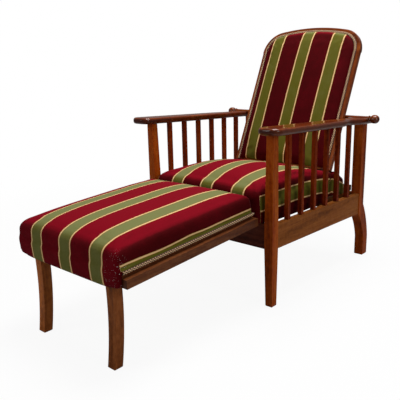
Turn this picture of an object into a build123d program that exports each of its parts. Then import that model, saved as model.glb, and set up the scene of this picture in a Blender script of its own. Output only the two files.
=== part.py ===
from build123d import *
import math
import os

# Reclining armchair with a pull-out upholstered footrest, in millimetres.
# The sitter faces -Y, +X is the sitter's left, Z is up and the floor is z = 0.
# Sizes are first written from the front faces of the front posts (y = 0), and the
# finished pieces are then moved so that the origin is under the middle of the chair.

# Chair frame
post_span = 610.0
front_post_width = 34.6
front_post_top = 28.0
front_post_foot = 28.1
foot_chamfer = 2.5
rear_post_y = 647.6
rear_post_width = 39.0
rear_post_depth = 39.0
rear_leg_swing = 54.5
rear_leg_bend_height = 84.0
rear_leg_bow = 9.0
rail_bottom_height = 213.8
rail_height = 91.4
rail_slope = 1.05
rail_thickness = 22.0
rail_setback = 3.0
rail_arris = 2.0
slat_width = 16.0
slats_per_side = 6
slat_first_y = 111.5
slat_last_gap = 94.6
corner_block_leg = 48.0
corner_block_height = 60.0

# Arms and their notched rear ends
arm_height = 620.5
arm_slope = 2.4
arm_thickness = 24.0
arm_inset = 43.0
arm_overhang = 33.0
arm_front_y = -50.0
arm_flare = 14.0
arm_tail = 54.4
arm_front_radius = 34.0
arm_rear_radius = 20.0
arm_edge_radius = 9.5
arm_waist_depth = 15.0
arm_waist_ahead = 142.6
arm_waist_length = 190.0
arm_inner_step = 9.0
arm_inner_step_ahead = 217.6
arm_inner_step_length = 70.0
notch_clearance = 0.3
bar_axis_drop = 3.0
notch_travel = 80.0
cut_overrun = 5.0

# Turned bar that carries the back
bar_diameter = 21.0
bar_lean_gap = 0.3
bar_end_gap = 1.0
ring_width = 7.0
ring_diameter = 27.0
neck_diameter = 17.0
neck_width = 4.0
knob_diameter = 34.0
knob_length = 35.0
knob_belly_share = 0.46
knob_tip_radius = 3.0

# Hinged back, measured up its own slope from the floor line of its front face
back_foot_ahead = 341.3
back_tilt = 24.27
back_thickness = 22.0
back_side_gap = 61.0
stile_width = 44.0
stile_arris = 4.0
top_rail_lip = 2.0
top_rail_width = 48.0
crest_along = 1085.0
crest_radius = 861.0
corner_radius = 100.0
back_bottom_rise = 107.8
bottom_rail_width = 46.0
back_border = 14.0
back_pad_edge = 8.0
back_pad_shoulder = 24.0
back_pad_crown = 31.0
back_pad_roll = 62.0
lining_thickness = 1.6
lining_border = 12.0

# Hinges of the back
hinge_gap = 8.0
hinge_set_in = 79.0
hinge_width = 60.0
leaf_thickness = 2.0
leaf_height = 26.0
knuckle_radius = 5.0
knuckle_gap = 0.4
pin_diameter = 5.0
pin_clearance = 0.15
pin_head_radius = 4.2
pin_head_height = 1.5

# Seat frame and its stuffing
seat_frame_thickness = 24.0
seat_frame_gap = 60.0
seat_frame_front_y = 3.0
seat_side_width = 46.0
seat_front_width = 60.0
seat_rear_ahead = 147.6
webbing_thickness = 2.0
webbing_width = 50.0
webbing_strands = 5
flank_gap = 47.0
flank_draw_in = 5.0
seat_front_y = -15.0
seat_front_radius = 42.0
seat_stuffing_height = 120.8
seat_rear_drop = 26.0
seat_crown = 12.0
seat_front_share = 0.8
seat_crown_ahead = 91.3
rear_stuffing_ahead = 57.6
rear_stuffing_height = 98.8
rear_stuffing_end_height = 60.8
rear_stuffing_crown = 7.0
soft_gap = 0.3

# Footrest
foot_plane_rear_y = -31.0
foot_plane_rise = 2.3
foot_slope = 3.456
runner_gap = 37.5
runner_height = 27.5
runner_set_back = 14.0
foot_member_set_in = 21.5
foot_member_width = 26.0
foot_member_height = 38.5
foot_rail_thickness = 24.0
foot_rail_drop = 8.0
foot_leg_set_in = 72.2
foot_leg_width = 31.0
foot_leg_set_back = 20.0
foot_leg_top_depth = 35.0
foot_leg_foot_lead = 10.7
foot_leg_foot_depth = 31.0
foot_leg_bow = 7.0
foot_leg_lap = 30.0
foot_pad_set_in = 17.5
foot_reach = 640.0
foot_pad_flap = 10.0
foot_pad_draw_in = 5.0
foot_pad_side_top = 112.0
foot_pad_crown = 14.0
foot_pad_front_radius = 40.0
foot_pad_rear_radius = 18.0
foot_pad_hem_lift = 14.0
slide_gap = 170.0
slide_width = 30.0
slide_height = 16.0
slide_top_drop = 6.4
slide_fit = 0.3
slide_travel = 250.0
slide_tail = 34.0
stop_pin_diameter = 8.0
stop_pin_overhang = 9.0

# Derived places
half_span = post_span / 2
slat_pitch = (rear_post_y - slat_last_gap - slat_first_y) / (slats_per_side - 1)
arm_inner_x = half_span - arm_inset
arm_outer_x = half_span + arm_overhang
arm_rear_y = rear_post_y + rear_post_depth + arm_tail
arm_waist_y = rear_post_y - arm_waist_ahead
arm_inner_step_y = rear_post_y - arm_inner_step_ahead
back_foot_y = rear_post_y - back_foot_ahead
stile_outer_x = half_span - back_side_gap
top_rail_outer_x = stile_outer_x + top_rail_lip
hinge_x = stile_outer_x - hinge_set_in
seat_frame_outer_x = half_span - seat_frame_gap
seat_rear_start_y = rear_post_y - seat_rear_ahead
flank_x = half_span - flank_gap
seat_crown_y = back_foot_y - seat_crown_ahead
rear_stuffing_end_y = rear_post_y - rear_stuffing_ahead
runner_outer_x = half_span - runner_gap
foot_member_outer_x = runner_outer_x - foot_member_set_in
foot_leg_outer_x = runner_outer_x - foot_leg_set_in
foot_pad_half_width = runner_outer_x - foot_pad_set_in
foot_pad_front_y = -foot_reach
runner_front_y = foot_pad_front_y + runner_set_back
foot_leg_top_y = foot_pad_front_y + foot_leg_set_back
foot_leg_foot_y = foot_leg_top_y - foot_leg_foot_lead
slide_x = half_span - slide_gap
rail_top_height = rail_bottom_height + rail_height
seat_side_top = rail_top_height + seat_stuffing_height
rear_stuffing_top = rail_top_height + rear_stuffing_height
rear_stuffing_end_top = rail_top_height + rear_stuffing_end_height
foot_plane_rear_z = rail_top_height + foot_plane_rise
rail_fall = math.tan(math.radians(rail_slope))
arm_fall = math.tan(math.radians(arm_slope))
tilt_sine = math.sin(math.radians(back_tilt))
tilt_cosine = math.cos(math.radians(back_tilt))
back_bottom_along = (rail_top_height + back_bottom_rise) / tilt_cosine
foot_rise = math.tan(math.radians(foot_slope))
bar_radius = bar_diameter / 2
rear_extent = back_foot_y + crest_along * tilt_sine + back_thickness * tilt_cosine
middle_y = (foot_pad_front_y + rear_extent) / 2
nodes = {}


def rail_top(y):
    return rail_top_height - rail_fall * y


def rail_bottom(y):
    return rail_bottom_height - rail_fall * y


def arm_underside(y):
    return arm_height - arm_fall * y


def foot_plane(y):
    return foot_plane_rear_z + foot_rise * (y - foot_plane_rear_y)


def on_back(along, depth):
    """Place on the back's side view: up its slope, and behind its front face."""
    y = back_foot_y + along * tilt_sine + depth * tilt_cosine
    z = along * tilt_cosine - depth * tilt_sine
    return y, z


def side_profile(points):
    """Face in the side view (y, z), standing at x = 0."""
    wire = Polyline([(0, y, z) for y, z in points], close=True)
    return make_face(wire)


def side_piece(points, x_start, x_end):
    """Outline in the side view, thickened from x_start to x_end."""
    return Pos(x_start, 0, 0) * extrude(side_profile(points), amount=x_end - x_start, dir=(1, 0, 0))


def front_piece(points, y_start, y_end):
    """Outline in the front view (x, z), thickened from y_start to y_end."""
    wire = Polyline([(x, 0, z) for x, z in points], close=True)
    return Pos(0, y_start, 0) * extrude(make_face(wire), amount=y_end - y_start, dir=(0, 1, 0))


def block(x_start, x_end, y_start, y_end, z_start, z_end):
    """Plain board between six faces."""
    size = (x_end - x_start, y_end - y_start, z_end - z_start)
    centre = ((x_start + x_end) / 2, (y_start + y_end) / 2, (z_start + z_end) / 2)
    return Pos(*centre) * Box(*size)


def add(name, shape):
    nodes[name] = shape


def add_pair(name, shape):
    """A piece on the sitter's left and its mirror image on the right."""
    add(name + "_left", shape)
    add(name + "_right", mirror(shape, about=Plane.YZ))


def on_seat_slope(shape):
    """Moves a flat-built piece onto the seat's gentle fall to the rear."""
    return Pos(0, 0, rail_top_height) * Rot(-rail_slope, 0, 0) * shape


def on_foot_slope(shape):
    """Moves a flat-built footrest piece onto the footrest's slope."""
    return Pos(0, foot_plane_rear_y, foot_plane_rear_z) * Rot(foot_slope, 0, 0) * shape


def on_back_slope(shape):
    """Leans an upright-built piece of the back."""
    return Pos(0, back_foot_y, 0) * Rot(-back_tilt, 0, 0) * shape


# Front posts taper on their two inner faces, up to the arm and down to the foot.
def front_post():
    inner = half_span - front_post_width
    face = [
        (half_span, 0),
        (half_span, arm_height),
        (half_span - front_post_top, arm_height),
        (inner, rail_top_height),
        (inner, rail_bottom_height),
        (half_span - front_post_foot, 0),
    ]
    side = [
        (0, 0),
        (0, arm_underside(0)),
        (front_post_top, arm_underside(front_post_top)),
        (front_post_width, rail_top_height),
        (front_post_width, rail_bottom_height),
        (front_post_foot, 0),
    ]
    post = front_piece(face, 0, front_post_width) & side_piece(side, inner, half_span)
    return chamfer(post.faces().sort_by(Axis.Z)[0].edges(), foot_chamfer)


# Rear posts stand straight above the rail and swing back below it as a sabre leg.
def rear_post():
    back_y = rear_post_y + rear_post_depth
    top_front = (rear_post_y, arm_underside(rear_post_y))
    top_back = (back_y, arm_underside(back_y))
    knee = rail_bottom(rear_post_y)
    foot_front = rear_post_y + rear_leg_swing
    shin = (foot_front, rear_leg_bend_height)
    front_middle = ((rear_post_y + foot_front) / 2 + rear_leg_bow, (knee + rear_leg_bend_height) / 2)
    calf = (foot_front + rear_post_depth, rear_leg_bend_height)
    back_knee = (back_y, knee + rear_post_depth)
    back_middle = ((back_y + calf[0]) / 2 + rear_leg_bow, (back_knee[1] + calf[1]) / 2)
    lift = [(0, y, z) for y, z in (top_front, (rear_post_y, knee), front_middle, shin)]
    drop = [(0, y, z) for y, z in (calf, back_middle, back_knee, top_back)]
    edges = [
        Line(lift[0], lift[1]),
        ThreePointArc(lift[1], lift[2], lift[3]),
        Line(lift[3], (0, foot_front, 0)),
        Line((0, foot_front, 0), (0, foot_front + rear_post_depth, 0)),
        Line((0, foot_front + rear_post_depth, 0), drop[0]),
        ThreePointArc(drop[0], drop[1], drop[2]),
        Line(drop[2], drop[3]),
        Line(drop[3], lift[0]),
    ]
    face = make_face(Wire(edges))
    post = Pos(half_span - rear_post_width, 0, 0) * extrude(face, amount=rear_post_width, dir=(1, 0, 0))
    return chamfer(post.faces().sort_by(Axis.Z)[0].edges(), foot_chamfer)


# Side rails fall gently to the rear, between the posts.
def side_rail():
    outer = half_span - rail_setback
    start = front_post_width
    outline = [
        (start, rail_bottom(start)),
        (rear_post_y, rail_bottom(rear_post_y)),
        (rear_post_y, rail_top(rear_post_y)),
        (start, rail_top(start)),
    ]
    rail = side_piece(outline, outer - rail_thickness, outer)
    return fillet(rail.edges().filter_by(lambda e: abs((e @ 1 - e @ 0).Y) > rear_post_y / 2), rail_arris)


# The front rail carries the seat frame and has two notches for the footrest's slides.
def front_rail():
    reach = half_span - front_post_width
    y_near = rail_setback
    y_far = rail_setback + rail_thickness
    outline = [
        (y_near, rail_bottom_height),
        (y_far, rail_bottom_height),
        (y_far, rail_top(y_far)),
        (y_near, rail_top(y_near)),
    ]
    rail = side_piece(outline, -reach, reach)
    for side in (-1, 1):
        centre = side * slide_x
        half = slide_width / 2 + slide_fit
        notch = block(centre - half, centre + half, y_near - cut_overrun, y_far + cut_overrun,
                      slide_bottom() - slide_fit, rail_top_height + cut_overrun)
        rail -= notch
    return rail


def rear_rail():
    reach = half_span - rear_post_width
    y_near = rear_post_y + rail_setback
    y_far = y_near + rail_thickness
    outline = [
        (y_near, rail_bottom(y_near)),
        (y_far, rail_bottom(y_near)),
        (y_far, rail_top(y_far)),
        (y_near, rail_top(y_near)),
    ]
    return side_piece(outline, -reach, reach)


# Three-cornered glue blocks behind the front rail.
def corner_block():
    x_far = half_span - rail_setback - rail_thickness
    y_near = rail_setback + rail_thickness
    low = rail_bottom_height + (rail_height - corner_block_height) / 2
    corners = [
        (x_far, front_post_width),
        (x_far, front_post_width + corner_block_leg),
        (x_far - corner_block_leg - (half_span - front_post_width - x_far), y_near),
        (half_span - front_post_width, y_near),
        (half_span - front_post_width, front_post_width),
    ]
    wire = Polyline([(x, y, low) for x, y in corners], close=True)
    return extrude(make_face(wire), amount=corner_block_height, dir=(0, 0, 1))


def slat(y_centre):
    outer = half_span - rail_setback - (rail_thickness - slat_width) / 2
    y_near = y_centre - slat_width / 2
    y_far = y_centre + slat_width / 2
    outline = [
        (y_near, rail_top(y_near)),
        (y_far, rail_top(y_far)),
        (y_far, arm_underside(y_far)),
        (y_near, arm_underside(y_near)),
    ]
    return side_piece(outline, outer - slat_width, outer)


def notch_centre(travel):
    """Bar axis in the side view when it has moved back along the arm."""
    reach = back_thickness + lining_thickness + bar_lean_gap + bar_radius
    # The axis lies on the arm's notch line and on a line parallel to the leaning back.
    height = (arm_thickness - bar_axis_drop) / math.cos(math.radians(arm_slope))
    lean = tilt_sine / tilt_cosine
    offset = back_foot_y + reach / tilt_cosine
    y = (offset + lean * (arm_height + height)) / (1 + lean * arm_fall)
    z = arm_height + height - arm_fall * y
    slope = math.radians(arm_slope)
    return y + travel * math.cos(slope), z - travel * math.sin(slope)


# Broad arm: round front corners, a waist ahead of the rear head and a notched rear end.
def arm():
    waist_start = arm_waist_y - arm_waist_length / 2
    waist_end = arm_waist_y + arm_waist_length / 2
    step_x = arm_inner_x + arm_inner_step
    front_outer_x = arm_outer_x + arm_flare
    step_end = arm_inner_step_y + arm_inner_step_length
    edges = [
        Line((arm_inner_x, arm_front_y + arm_front_radius), (arm_inner_x, arm_inner_step_y)),
        Spline([(arm_inner_x, arm_inner_step_y), (step_x, step_end)], tangents=[(0, 1), (0, 1)]),
        Line((step_x, step_end), (step_x, arm_rear_y - arm_rear_radius)),
        RadiusArc((step_x, arm_rear_y - arm_rear_radius), (step_x + arm_rear_radius, arm_rear_y), arm_rear_radius),
        Line((step_x + arm_rear_radius, arm_rear_y), (arm_outer_x - arm_rear_radius, arm_rear_y)),
        RadiusArc((arm_outer_x - arm_rear_radius, arm_rear_y), (arm_outer_x, arm_rear_y - arm_rear_radius),
                  arm_rear_radius),
        Line((arm_outer_x, arm_rear_y - arm_rear_radius), (arm_outer_x, waist_end)),
        Spline([(arm_outer_x, waist_end), (arm_outer_x - arm_waist_depth, arm_waist_y), (arm_outer_x, waist_start)],
               tangents=[(0, -1), (0, -1)]),
        Line((arm_outer_x, waist_start), (front_outer_x, arm_front_y + arm_front_radius)),
        RadiusArc((front_outer_x, arm_front_y + arm_front_radius), (front_outer_x - arm_front_radius, arm_front_y),
                  arm_front_radius),
        Line((front_outer_x - arm_front_radius, arm_front_y), (arm_inner_x + arm_front_radius, arm_front_y)),
        RadiusArc((arm_inner_x + arm_front_radius, arm_front_y), (arm_inner_x, arm_front_y + arm_front_radius),
                  arm_front_radius),
    ]
    board = extrude(make_face(Wire(edges)), amount=arm_thickness, dir=(0, 0, 1))
    board = fillet(board.faces().filter_by(Axis.Z).edges(), arm_edge_radius)
    board = Pos(0, 0, arm_height) * Rot(-arm_slope, 0, 0) * board
    return board - notch_cut()


# Run of the bar through the arm: a half-round seat at each end, joined by a level floor.
def notch_cut():
    radius = bar_radius + notch_clearance
    first = notch_centre(0)
    last = notch_centre(notch_travel)
    x_start = arm_inner_x - cut_overrun
    x_end = arm_outer_x + cut_overrun
    length = x_end - x_start
    cut = None
    for y, z in (first, last):
        seat = Pos((x_start + x_end) / 2, y, z) * Rot(0, 90, 0) * Cylinder(radius, length)
        cut = seat if cut is None else cut + seat
    slope = math.radians(arm_slope)
    high = arm_thickness
    across = (math.sin(slope), math.cos(slope))
    along = (math.cos(slope), -math.sin(slope))
    floor = [
        (first[0] - radius * across[0], first[1] - radius * across[1]),
        (last[0] - radius * across[0], last[1] - radius * across[1]),
        (last[0] + radius * across[0], last[1] + radius * across[1]),
        (first[0] + radius * across[0], first[1] + radius * across[1]),
    ]
    cut += side_piece(floor, x_start, x_end)
    mouth = [
        (first[0] - radius * along[0], first[1] - radius * along[1]),
        (last[0] + radius * along[0], last[1] + radius * along[1]),
        (last[0] + radius * along[0] + high * across[0], last[1] + radius * along[1] + high * across[1]),
        (first[0] - radius * along[0] + high * across[0], first[1] - radius * along[1] + high * across[1]),
    ]
    return cut + side_piece(mouth, x_start, x_end)


# Turned bar: a plain rod with a ring, a neck and a bun-shaped knob at each end.
def support_bar():
    ring_start = arm_outer_x + bar_end_gap
    ring_end = ring_start + ring_width
    neck_end = ring_end + neck_width
    knob_end = neck_end + knob_length
    ring_radius = ring_diameter / 2
    neck_radius = neck_diameter / 2
    knob_radius = knob_diameter / 2
    ring_middle = ((ring_start + ring_end) / 2, ring_radius)
    ring_foot = (ring_start, bar_radius)
    belly_x = neck_end + knob_length * knob_belly_share
    turn = math.sin(math.radians(45))
    belly = (belly_x, knob_radius)
    shoulder = (belly_x - (belly_x - neck_end) * turn, neck_radius + (knob_radius - neck_radius) * turn)
    brow = (belly_x + (knob_end - belly_x) * turn, knob_tip_radius + (knob_radius - knob_tip_radius) * turn)

    def side(sign):
        def at(point):
            return sign * point[0], point[1]

        return [
            Line(at((0, bar_radius)), at(ring_foot)),
            ThreePointArc(at(ring_foot), at(ring_middle), at((ring_end, bar_radius))),
            Line(at((ring_end, bar_radius)), at((ring_end, neck_radius))),
            Line(at((ring_end, neck_radius)), at((neck_end, neck_radius))),
            ThreePointArc(at((neck_end, neck_radius)), at(shoulder), at(belly)),
            ThreePointArc(at(belly), at(brow), at((knob_end, knob_tip_radius))),
            Line(at((knob_end, knob_tip_radius)), at((knob_end, 0))),
        ]

    outline = Wire(side(1) + side(-1) + [Line((-knob_end, 0), (knob_end, 0))])
    whole = revolve(make_face(outline), Axis.X)
    y, z = notch_centre(0)
    return Pos(0, y, z) * whole


def arch_edges(inset, half_width):
    """Arched top from the left spring line over the crest to the right, on the x-z plane."""
    radius = corner_radius - inset
    crest = crest_radius - inset
    x_centre = half_width - radius
    z_crest_centre = crest_along - crest_radius
    rise = math.sqrt((crest - radius) ** 2 - x_centre ** 2)
    z_centre = z_crest_centre + rise
    share = crest / (crest - radius)
    touch = (x_centre * share, z_crest_centre + rise * share)
    turn = math.radians(45)
    elbow = (x_centre + radius * math.cos(turn), z_centre + radius * math.sin(turn))
    left = ThreePointArc((half_width, 0, z_centre), (elbow[0], 0, elbow[1]), (touch[0], 0, touch[1]))
    crown = ThreePointArc((touch[0], 0, touch[1]), (0, 0, z_crest_centre + crest), (-touch[0], 0, touch[1]))
    right = ThreePointArc((-touch[0], 0, touch[1]), (-elbow[0], 0, elbow[1]), (-half_width, 0, z_centre))
    return [left, crown, right], z_centre


# Arched top rail, cut in one with both corners and a little wider than the stiles.
def back_top_rail():
    outer, spring = arch_edges(0, top_rail_outer_x)
    x_in = top_rail_outer_x - top_rail_width
    inner, _ = arch_edges(top_rail_width, x_in)
    ends = [
        Line((-top_rail_outer_x, 0, spring), (-x_in, 0, spring)),
        Line((x_in, 0, spring), (top_rail_outer_x, 0, spring)),
    ]
    face = make_face(Wire(outer + ends + inner))
    rail = extrude(face, amount=back_thickness, dir=(0, 1, 0))
    outside = [e for e in rail.edges().filter_by(GeomType.CIRCLE) if e.radius > crest_radius - stile_arris
               or abs(e.radius - corner_radius) < stile_arris]
    return on_back_slope(fillet(outside, stile_arris)), spring


def back_stile(spring):
    stile = block(stile_outer_x - stile_width, stile_outer_x, 0, back_thickness, back_bottom_along, spring)
    long_outer = [e for e in stile.edges().filter_by(Axis.Z) if e.center().X > stile_outer_x - stile_arris]
    return on_back_slope(fillet(long_outer, stile_arris))


def back_bottom_rail():
    reach = stile_outer_x - stile_width
    rail = block(-reach, reach, 0, back_thickness, back_bottom_along, back_bottom_along + bottom_rail_width)
    return on_back_slope(rail)


def pad_top_along(x):
    """Height up the slope of the pad's arched outline at a distance from the middle."""
    half = stile_outer_x - back_border
    radius = corner_radius - back_border
    crest = crest_radius - back_border
    x_centre = half - radius
    z_crest_centre = crest_along - crest_radius
    rise = math.sqrt((crest - radius) ** 2 - x_centre ** 2)
    reach = abs(x)
    if reach < x_centre * crest / (crest - radius):
        return z_crest_centre + math.sqrt(crest ** 2 - reach ** 2)
    return z_crest_centre + rise + math.sqrt(max(radius ** 2 - (reach - x_centre) ** 2, 0))


# Stuffed back pad: sections side by side, each a low edge, a quick roll and a long crown.
def back_pad():
    half = stile_outer_x - back_border
    width_shares = (-1, -0.985, -0.93, -0.82, -0.62, -0.32, 0, 0.32, 0.62, 0.82, 0.93, 0.985, 1)
    side_share = 0.85
    sections = []
    for share in width_shares:
        x = share * half
        fall = 1 - side_share * abs(share) ** 6
        shoulder = back_pad_edge + (back_pad_shoulder - back_pad_edge) * fall
        crown = back_pad_edge + (back_pad_crown - back_pad_edge) * fall
        low = back_bottom_along + stile_arris / 2
        high = pad_top_along(x)
        middle = (low + high) / 2
        knee = (back_pad_edge + shoulder) / 2 + (shoulder - back_pad_edge) / 4
        bend = back_pad_roll / 3
        points = [
            (low, 0),
            (low, -back_pad_edge),
            (low + bend, -knee),
            (low + back_pad_roll, -shoulder),
            (middle, -crown),
            (high - back_pad_roll, -shoulder),
            (high - bend, -knee),
            (high, -back_pad_edge),
            (high, 0),
        ]
        p = [(x, depth, along) for along, depth in points]
        edges = [
            Line(p[0], p[1]),
            ThreePointArc(p[1], p[2], p[3]),
            ThreePointArc(p[3], p[4], p[5]),
            ThreePointArc(p[5], p[6], p[7]),
            Line(p[7], p[8]),
            Line(p[8], p[0]),
        ]
        sections.append(make_face(Wire(edges)))
    return on_back_slope(loft(sections))


# Plain cloth that closes the rear of the back inside the frame's edge.
def back_lining():
    half = stile_outer_x - lining_border
    outer, spring = arch_edges(lining_border, half)
    low = back_bottom_along + lining_border + leaf_height
    sides = [
        Line((-half, 0, spring), (-half, 0, low)),
        Line((-half, 0, low), (half, 0, low)),
        Line((half, 0, low), (half, 0, spring)),
    ]
    sheet = extrude(make_face(Wire(outer + sides)), amount=lining_thickness, dir=(0, 1, 0))
    return on_back_slope(Pos(0, back_thickness, 0) * sheet)


# Knuckle hinges on the rear faces: two outer knuckles below, one middle knuckle above.
def hinge_pieces(x_centre):
    pin_depth = back_thickness + knuckle_radius
    pin_along = back_bottom_along - hinge_gap / 2
    half = hinge_width / 2
    third = hinge_width / 6
    bore = pin_diameter / 2 + pin_clearance

    def knuckle(x_start, x_end):
        length = x_end - x_start
        turned = Rot(0, 90, 0) * (Cylinder(knuckle_radius, length) - Cylinder(bore, length))
        return Pos((x_start + x_end) / 2, pin_depth, pin_along) * turned

    def leaf(direction, x_start, x_end):
        reach = hinge_gap / 2 + leaf_height
        z_low = pin_along if direction > 0 else pin_along - reach
        z_high = pin_along + reach if direction > 0 else pin_along
        plate = block(x_centre - half, x_centre + half, back_thickness, back_thickness + leaf_thickness,
                      min(z_low, z_high), max(z_low, z_high))
        hole = Pos(x_centre, pin_depth, pin_along) * Rot(0, 90, 0) * Cylinder(knuckle_radius + knuckle_gap, hinge_width)
        return plate - hole

    upper = leaf(1, -half, half) + knuckle(x_centre - third, x_centre + third)
    tongue = block(x_centre - third, x_centre + third, back_thickness, back_thickness + leaf_thickness,
                   pin_along, pin_along + knuckle_radius + leaf_thickness)
    upper += tongue - Pos(x_centre, pin_depth, pin_along) * Rot(0, 90, 0) * Cylinder(bore, hinge_width)
    lower = leaf(-1, -half, half)
    for side in (-1, 1):
        x_a = x_centre + side * (third + knuckle_gap)
        x_b = x_centre + side * half
        ends = (min(x_a, x_b), max(x_a, x_b))
        lower += knuckle(*ends)
        tab = block(ends[0], ends[1], back_thickness, back_thickness + leaf_thickness,
                    pin_along - knuckle_radius - leaf_thickness, pin_along)
        lower += tab - Pos(x_centre, pin_depth, pin_along) * Rot(0, 90, 0) * Cylinder(bore, hinge_width)
    pin = Rot(0, 90, 0) * Cylinder(pin_diameter / 2, hinge_width)
    for side in (-1, 1):
        head = Rot(0, 90, 0) * Cylinder(pin_head_radius, pin_head_height)
        pin += Pos(side * (half + pin_head_height / 2), 0, 0) * head
    pin = Pos(x_centre, pin_depth, pin_along) * pin
    return on_back_slope(upper), on_back_slope(lower), on_back_slope(pin)


# Seat frame: a flat frame of boards that lies on the front and rear rails.
def seat_boards():
    inner = seat_frame_outer_x - seat_side_width
    rear_y = rear_post_y + rear_post_depth
    side = block(inner, seat_frame_outer_x, seat_frame_front_y, rear_y, 0, seat_frame_thickness)
    front = block(-inner, inner, seat_frame_front_y, seat_frame_front_y + seat_front_width, 0, seat_frame_thickness)
    rear = block(-inner, inner, seat_rear_start_y, rear_y, 0, seat_frame_thickness)
    return on_seat_slope(side), on_seat_slope(front), on_seat_slope(rear)


def seat_level(y, cover=webbing_thickness):
    """Height of the seat frame's top, with the webbing that lies on it."""
    return rail_top(y) + (seat_frame_thickness + cover) / math.cos(math.radians(rail_slope))


def leaning_foot(point, cover=webbing_thickness):
    """Follows the back's lean from a point down to the top of the seat frame."""
    lean = tilt_sine / tilt_cosine
    z = (seat_level(0, cover) - rail_fall * (point[0] - lean * point[1])) / (1 + rail_fall * lean)
    return point[0] - lean * (point[1] - z), z


# Cross rail that stands up through the stuffing and carries the hinges of the back.
def seat_hinge_rail():
    high = back_bottom_along - hinge_gap
    front_top = on_back(high, 0)
    rear_top = on_back(high, back_thickness)
    outline = [front_top, rear_top, leaning_foot(rear_top, 0), leaning_foot(front_top, 0)]
    return side_piece(outline, -seat_frame_outer_x, seat_frame_outer_x)


def lattice(x_reach, y_start, y_end, strands_x, strands_y, z_low):
    """Webbing: flat straps both ways, with their ends on the frame's boards."""
    net = None
    for index in range(strands_y):
        share = (index + 0.5) / strands_y
        centre = -x_reach + 2 * x_reach * share
        strap = block(centre - webbing_width / 2, centre + webbing_width / 2, y_start, y_end,
                      z_low, z_low + webbing_thickness)
        net = strap if net is None else net + strap
    for index in range(strands_x):
        share = (index + 0.5) / strands_x
        centre = y_start + (y_end - y_start) * share
        net += block(-x_reach, x_reach, centre - webbing_width / 2, centre + webbing_width / 2,
                     z_low, z_low + webbing_thickness)
    return net


def seat_webbing():
    y_start = seat_frame_front_y + seat_front_width / 3
    y_end = leaning_foot(on_back(back_bottom_along, 0), 0)[0] - soft_gap - seat_frame_thickness * rail_fall
    reach = seat_frame_outer_x - seat_side_width / 3
    return on_seat_slope(lattice(reach, y_start, y_end, webbing_strands, webbing_strands, seat_frame_thickness))


def flank_inset(share):
    """How far the stuffing draws in towards its outer sides."""
    return 1 - abs(share) ** 8


# Main stuffing: side-by-side sections with a round front edge, a crown and a leaning rear end.
def seat_cushion():
    width_shares = (-1, -0.965, -0.88, -0.6, 0, 0.6, 0.88, 0.965, 1)
    sections = []
    for share in width_shares:
        fall = flank_inset(share)
        draw = flank_draw_in * (1 - fall)
        crown = seat_crown * (1 - share ** 2) + seat_rear_drop * (fall - 1)
        front_y = seat_front_y + draw
        bottom = seat_level(front_y)
        top_front = seat_side_top - draw + crown * seat_front_share
        peak = seat_side_top + crown
        rear_high = seat_side_top - seat_rear_drop + crown / 2
        lean = tilt_sine / tilt_cosine
        rear_top = (back_foot_y + lean * rear_high - soft_gap, rear_high)
        rear_bottom = leaning_foot(rear_top)
        turn = seat_front_radius * (1 - math.sqrt(2) / 2)
        points = [
            (front_y, bottom),
            (front_y, top_front - seat_front_radius),
            (front_y + turn, top_front - turn),
            (front_y + seat_front_radius, top_front),
            (seat_crown_y, peak),
            rear_top,
            rear_bottom,
        ]
        p = [(share * flank_x, y, z) for y, z in points]
        edges = [
            Line(p[0], p[1]),
            ThreePointArc(p[1], p[2], p[3]),
            ThreePointArc(p[3], p[4], p[5]),
            Line(p[5], p[6]),
            Line(p[6], p[0]),
        ]
        sections.append(make_face(Wire(edges)))
    return loft(sections)


# Velvet-covered edge strips that hide the seat frame at the front and at both sides.
def seat_borders():
    level = seat_frame_thickness + webbing_thickness
    front = block(-flank_x, flank_x, seat_front_y, seat_frame_front_y, soft_gap, level)
    side = block(seat_frame_outer_x, flank_x, seat_frame_front_y, rear_stuffing_end_y, soft_gap, seat_frame_thickness)
    return on_seat_slope(front), on_seat_slope(side)


# Lower roll behind the back, with a flank at each side that closes the seat's outline.
def seat_rear_stuffing():
    lean = tilt_sine / tilt_cosine

    def roll(x_start, x_end, depth, steps_shares):
        front_z = rear_stuffing_top
        sections = []
        for share in steps_shares:
            x = x_start + (x_end - x_start) * share
            draw = flank_draw_in * (abs(x) / flank_x) ** 8
            y_top = back_foot_y + lean * front_z + depth
            y_low, low_z = leaning_foot((y_top, front_z), 0)
            end_y = rear_stuffing_end_y - draw
            low = seat_level(end_y, 0)
            middle = ((y_top + end_y) / 2, (front_z + rear_stuffing_end_top) / 2 + rear_stuffing_crown - draw)
            end_top = rear_stuffing_end_top - draw
            points = [(y_low, low_z), (y_top, front_z - draw), middle, (end_y, end_top), (end_y, low)]
            p = [(x, y, z) for y, z in points]
            edges = [Line(p[0], p[1]), ThreePointArc(p[1], p[2], p[3]), Line(p[3], p[4]), Line(p[4], p[0])]
            sections.append(make_face(Wire(edges)))
        return loft(sections)

    behind = (back_thickness + leaf_thickness + knuckle_radius * 2) / tilt_cosine
    inner = seat_frame_outer_x
    roll_shares = (0, 0.5, 1)
    body = roll(-inner, inner, behind, roll_shares)
    for side in (-1, 1):
        body += roll(side * inner, side * flank_x, soft_gap, roll_shares)
    return body


# Footrest frame, built flat and then leaned: y runs back from its rear end.
def foot_local_y(y):
    return (y - foot_plane_rear_y) / math.cos(math.radians(foot_slope))


def footrest_runner():
    y_front = foot_local_y(runner_front_y)
    inner = foot_member_outer_x - foot_member_width
    member = block(inner, foot_member_outer_x, y_front, 0, 0, foot_member_height)
    strip = block(foot_member_outer_x, runner_outer_x, y_front, 0, 0, runner_height)
    return on_foot_slope(member + strip)


def footrest_front_rail():
    inner = foot_member_outer_x - foot_member_width
    y_front = foot_local_y(runner_front_y)
    return on_foot_slope(block(-inner, inner, y_front, y_front + foot_rail_thickness,
                               -foot_rail_drop, foot_member_height))


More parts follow.
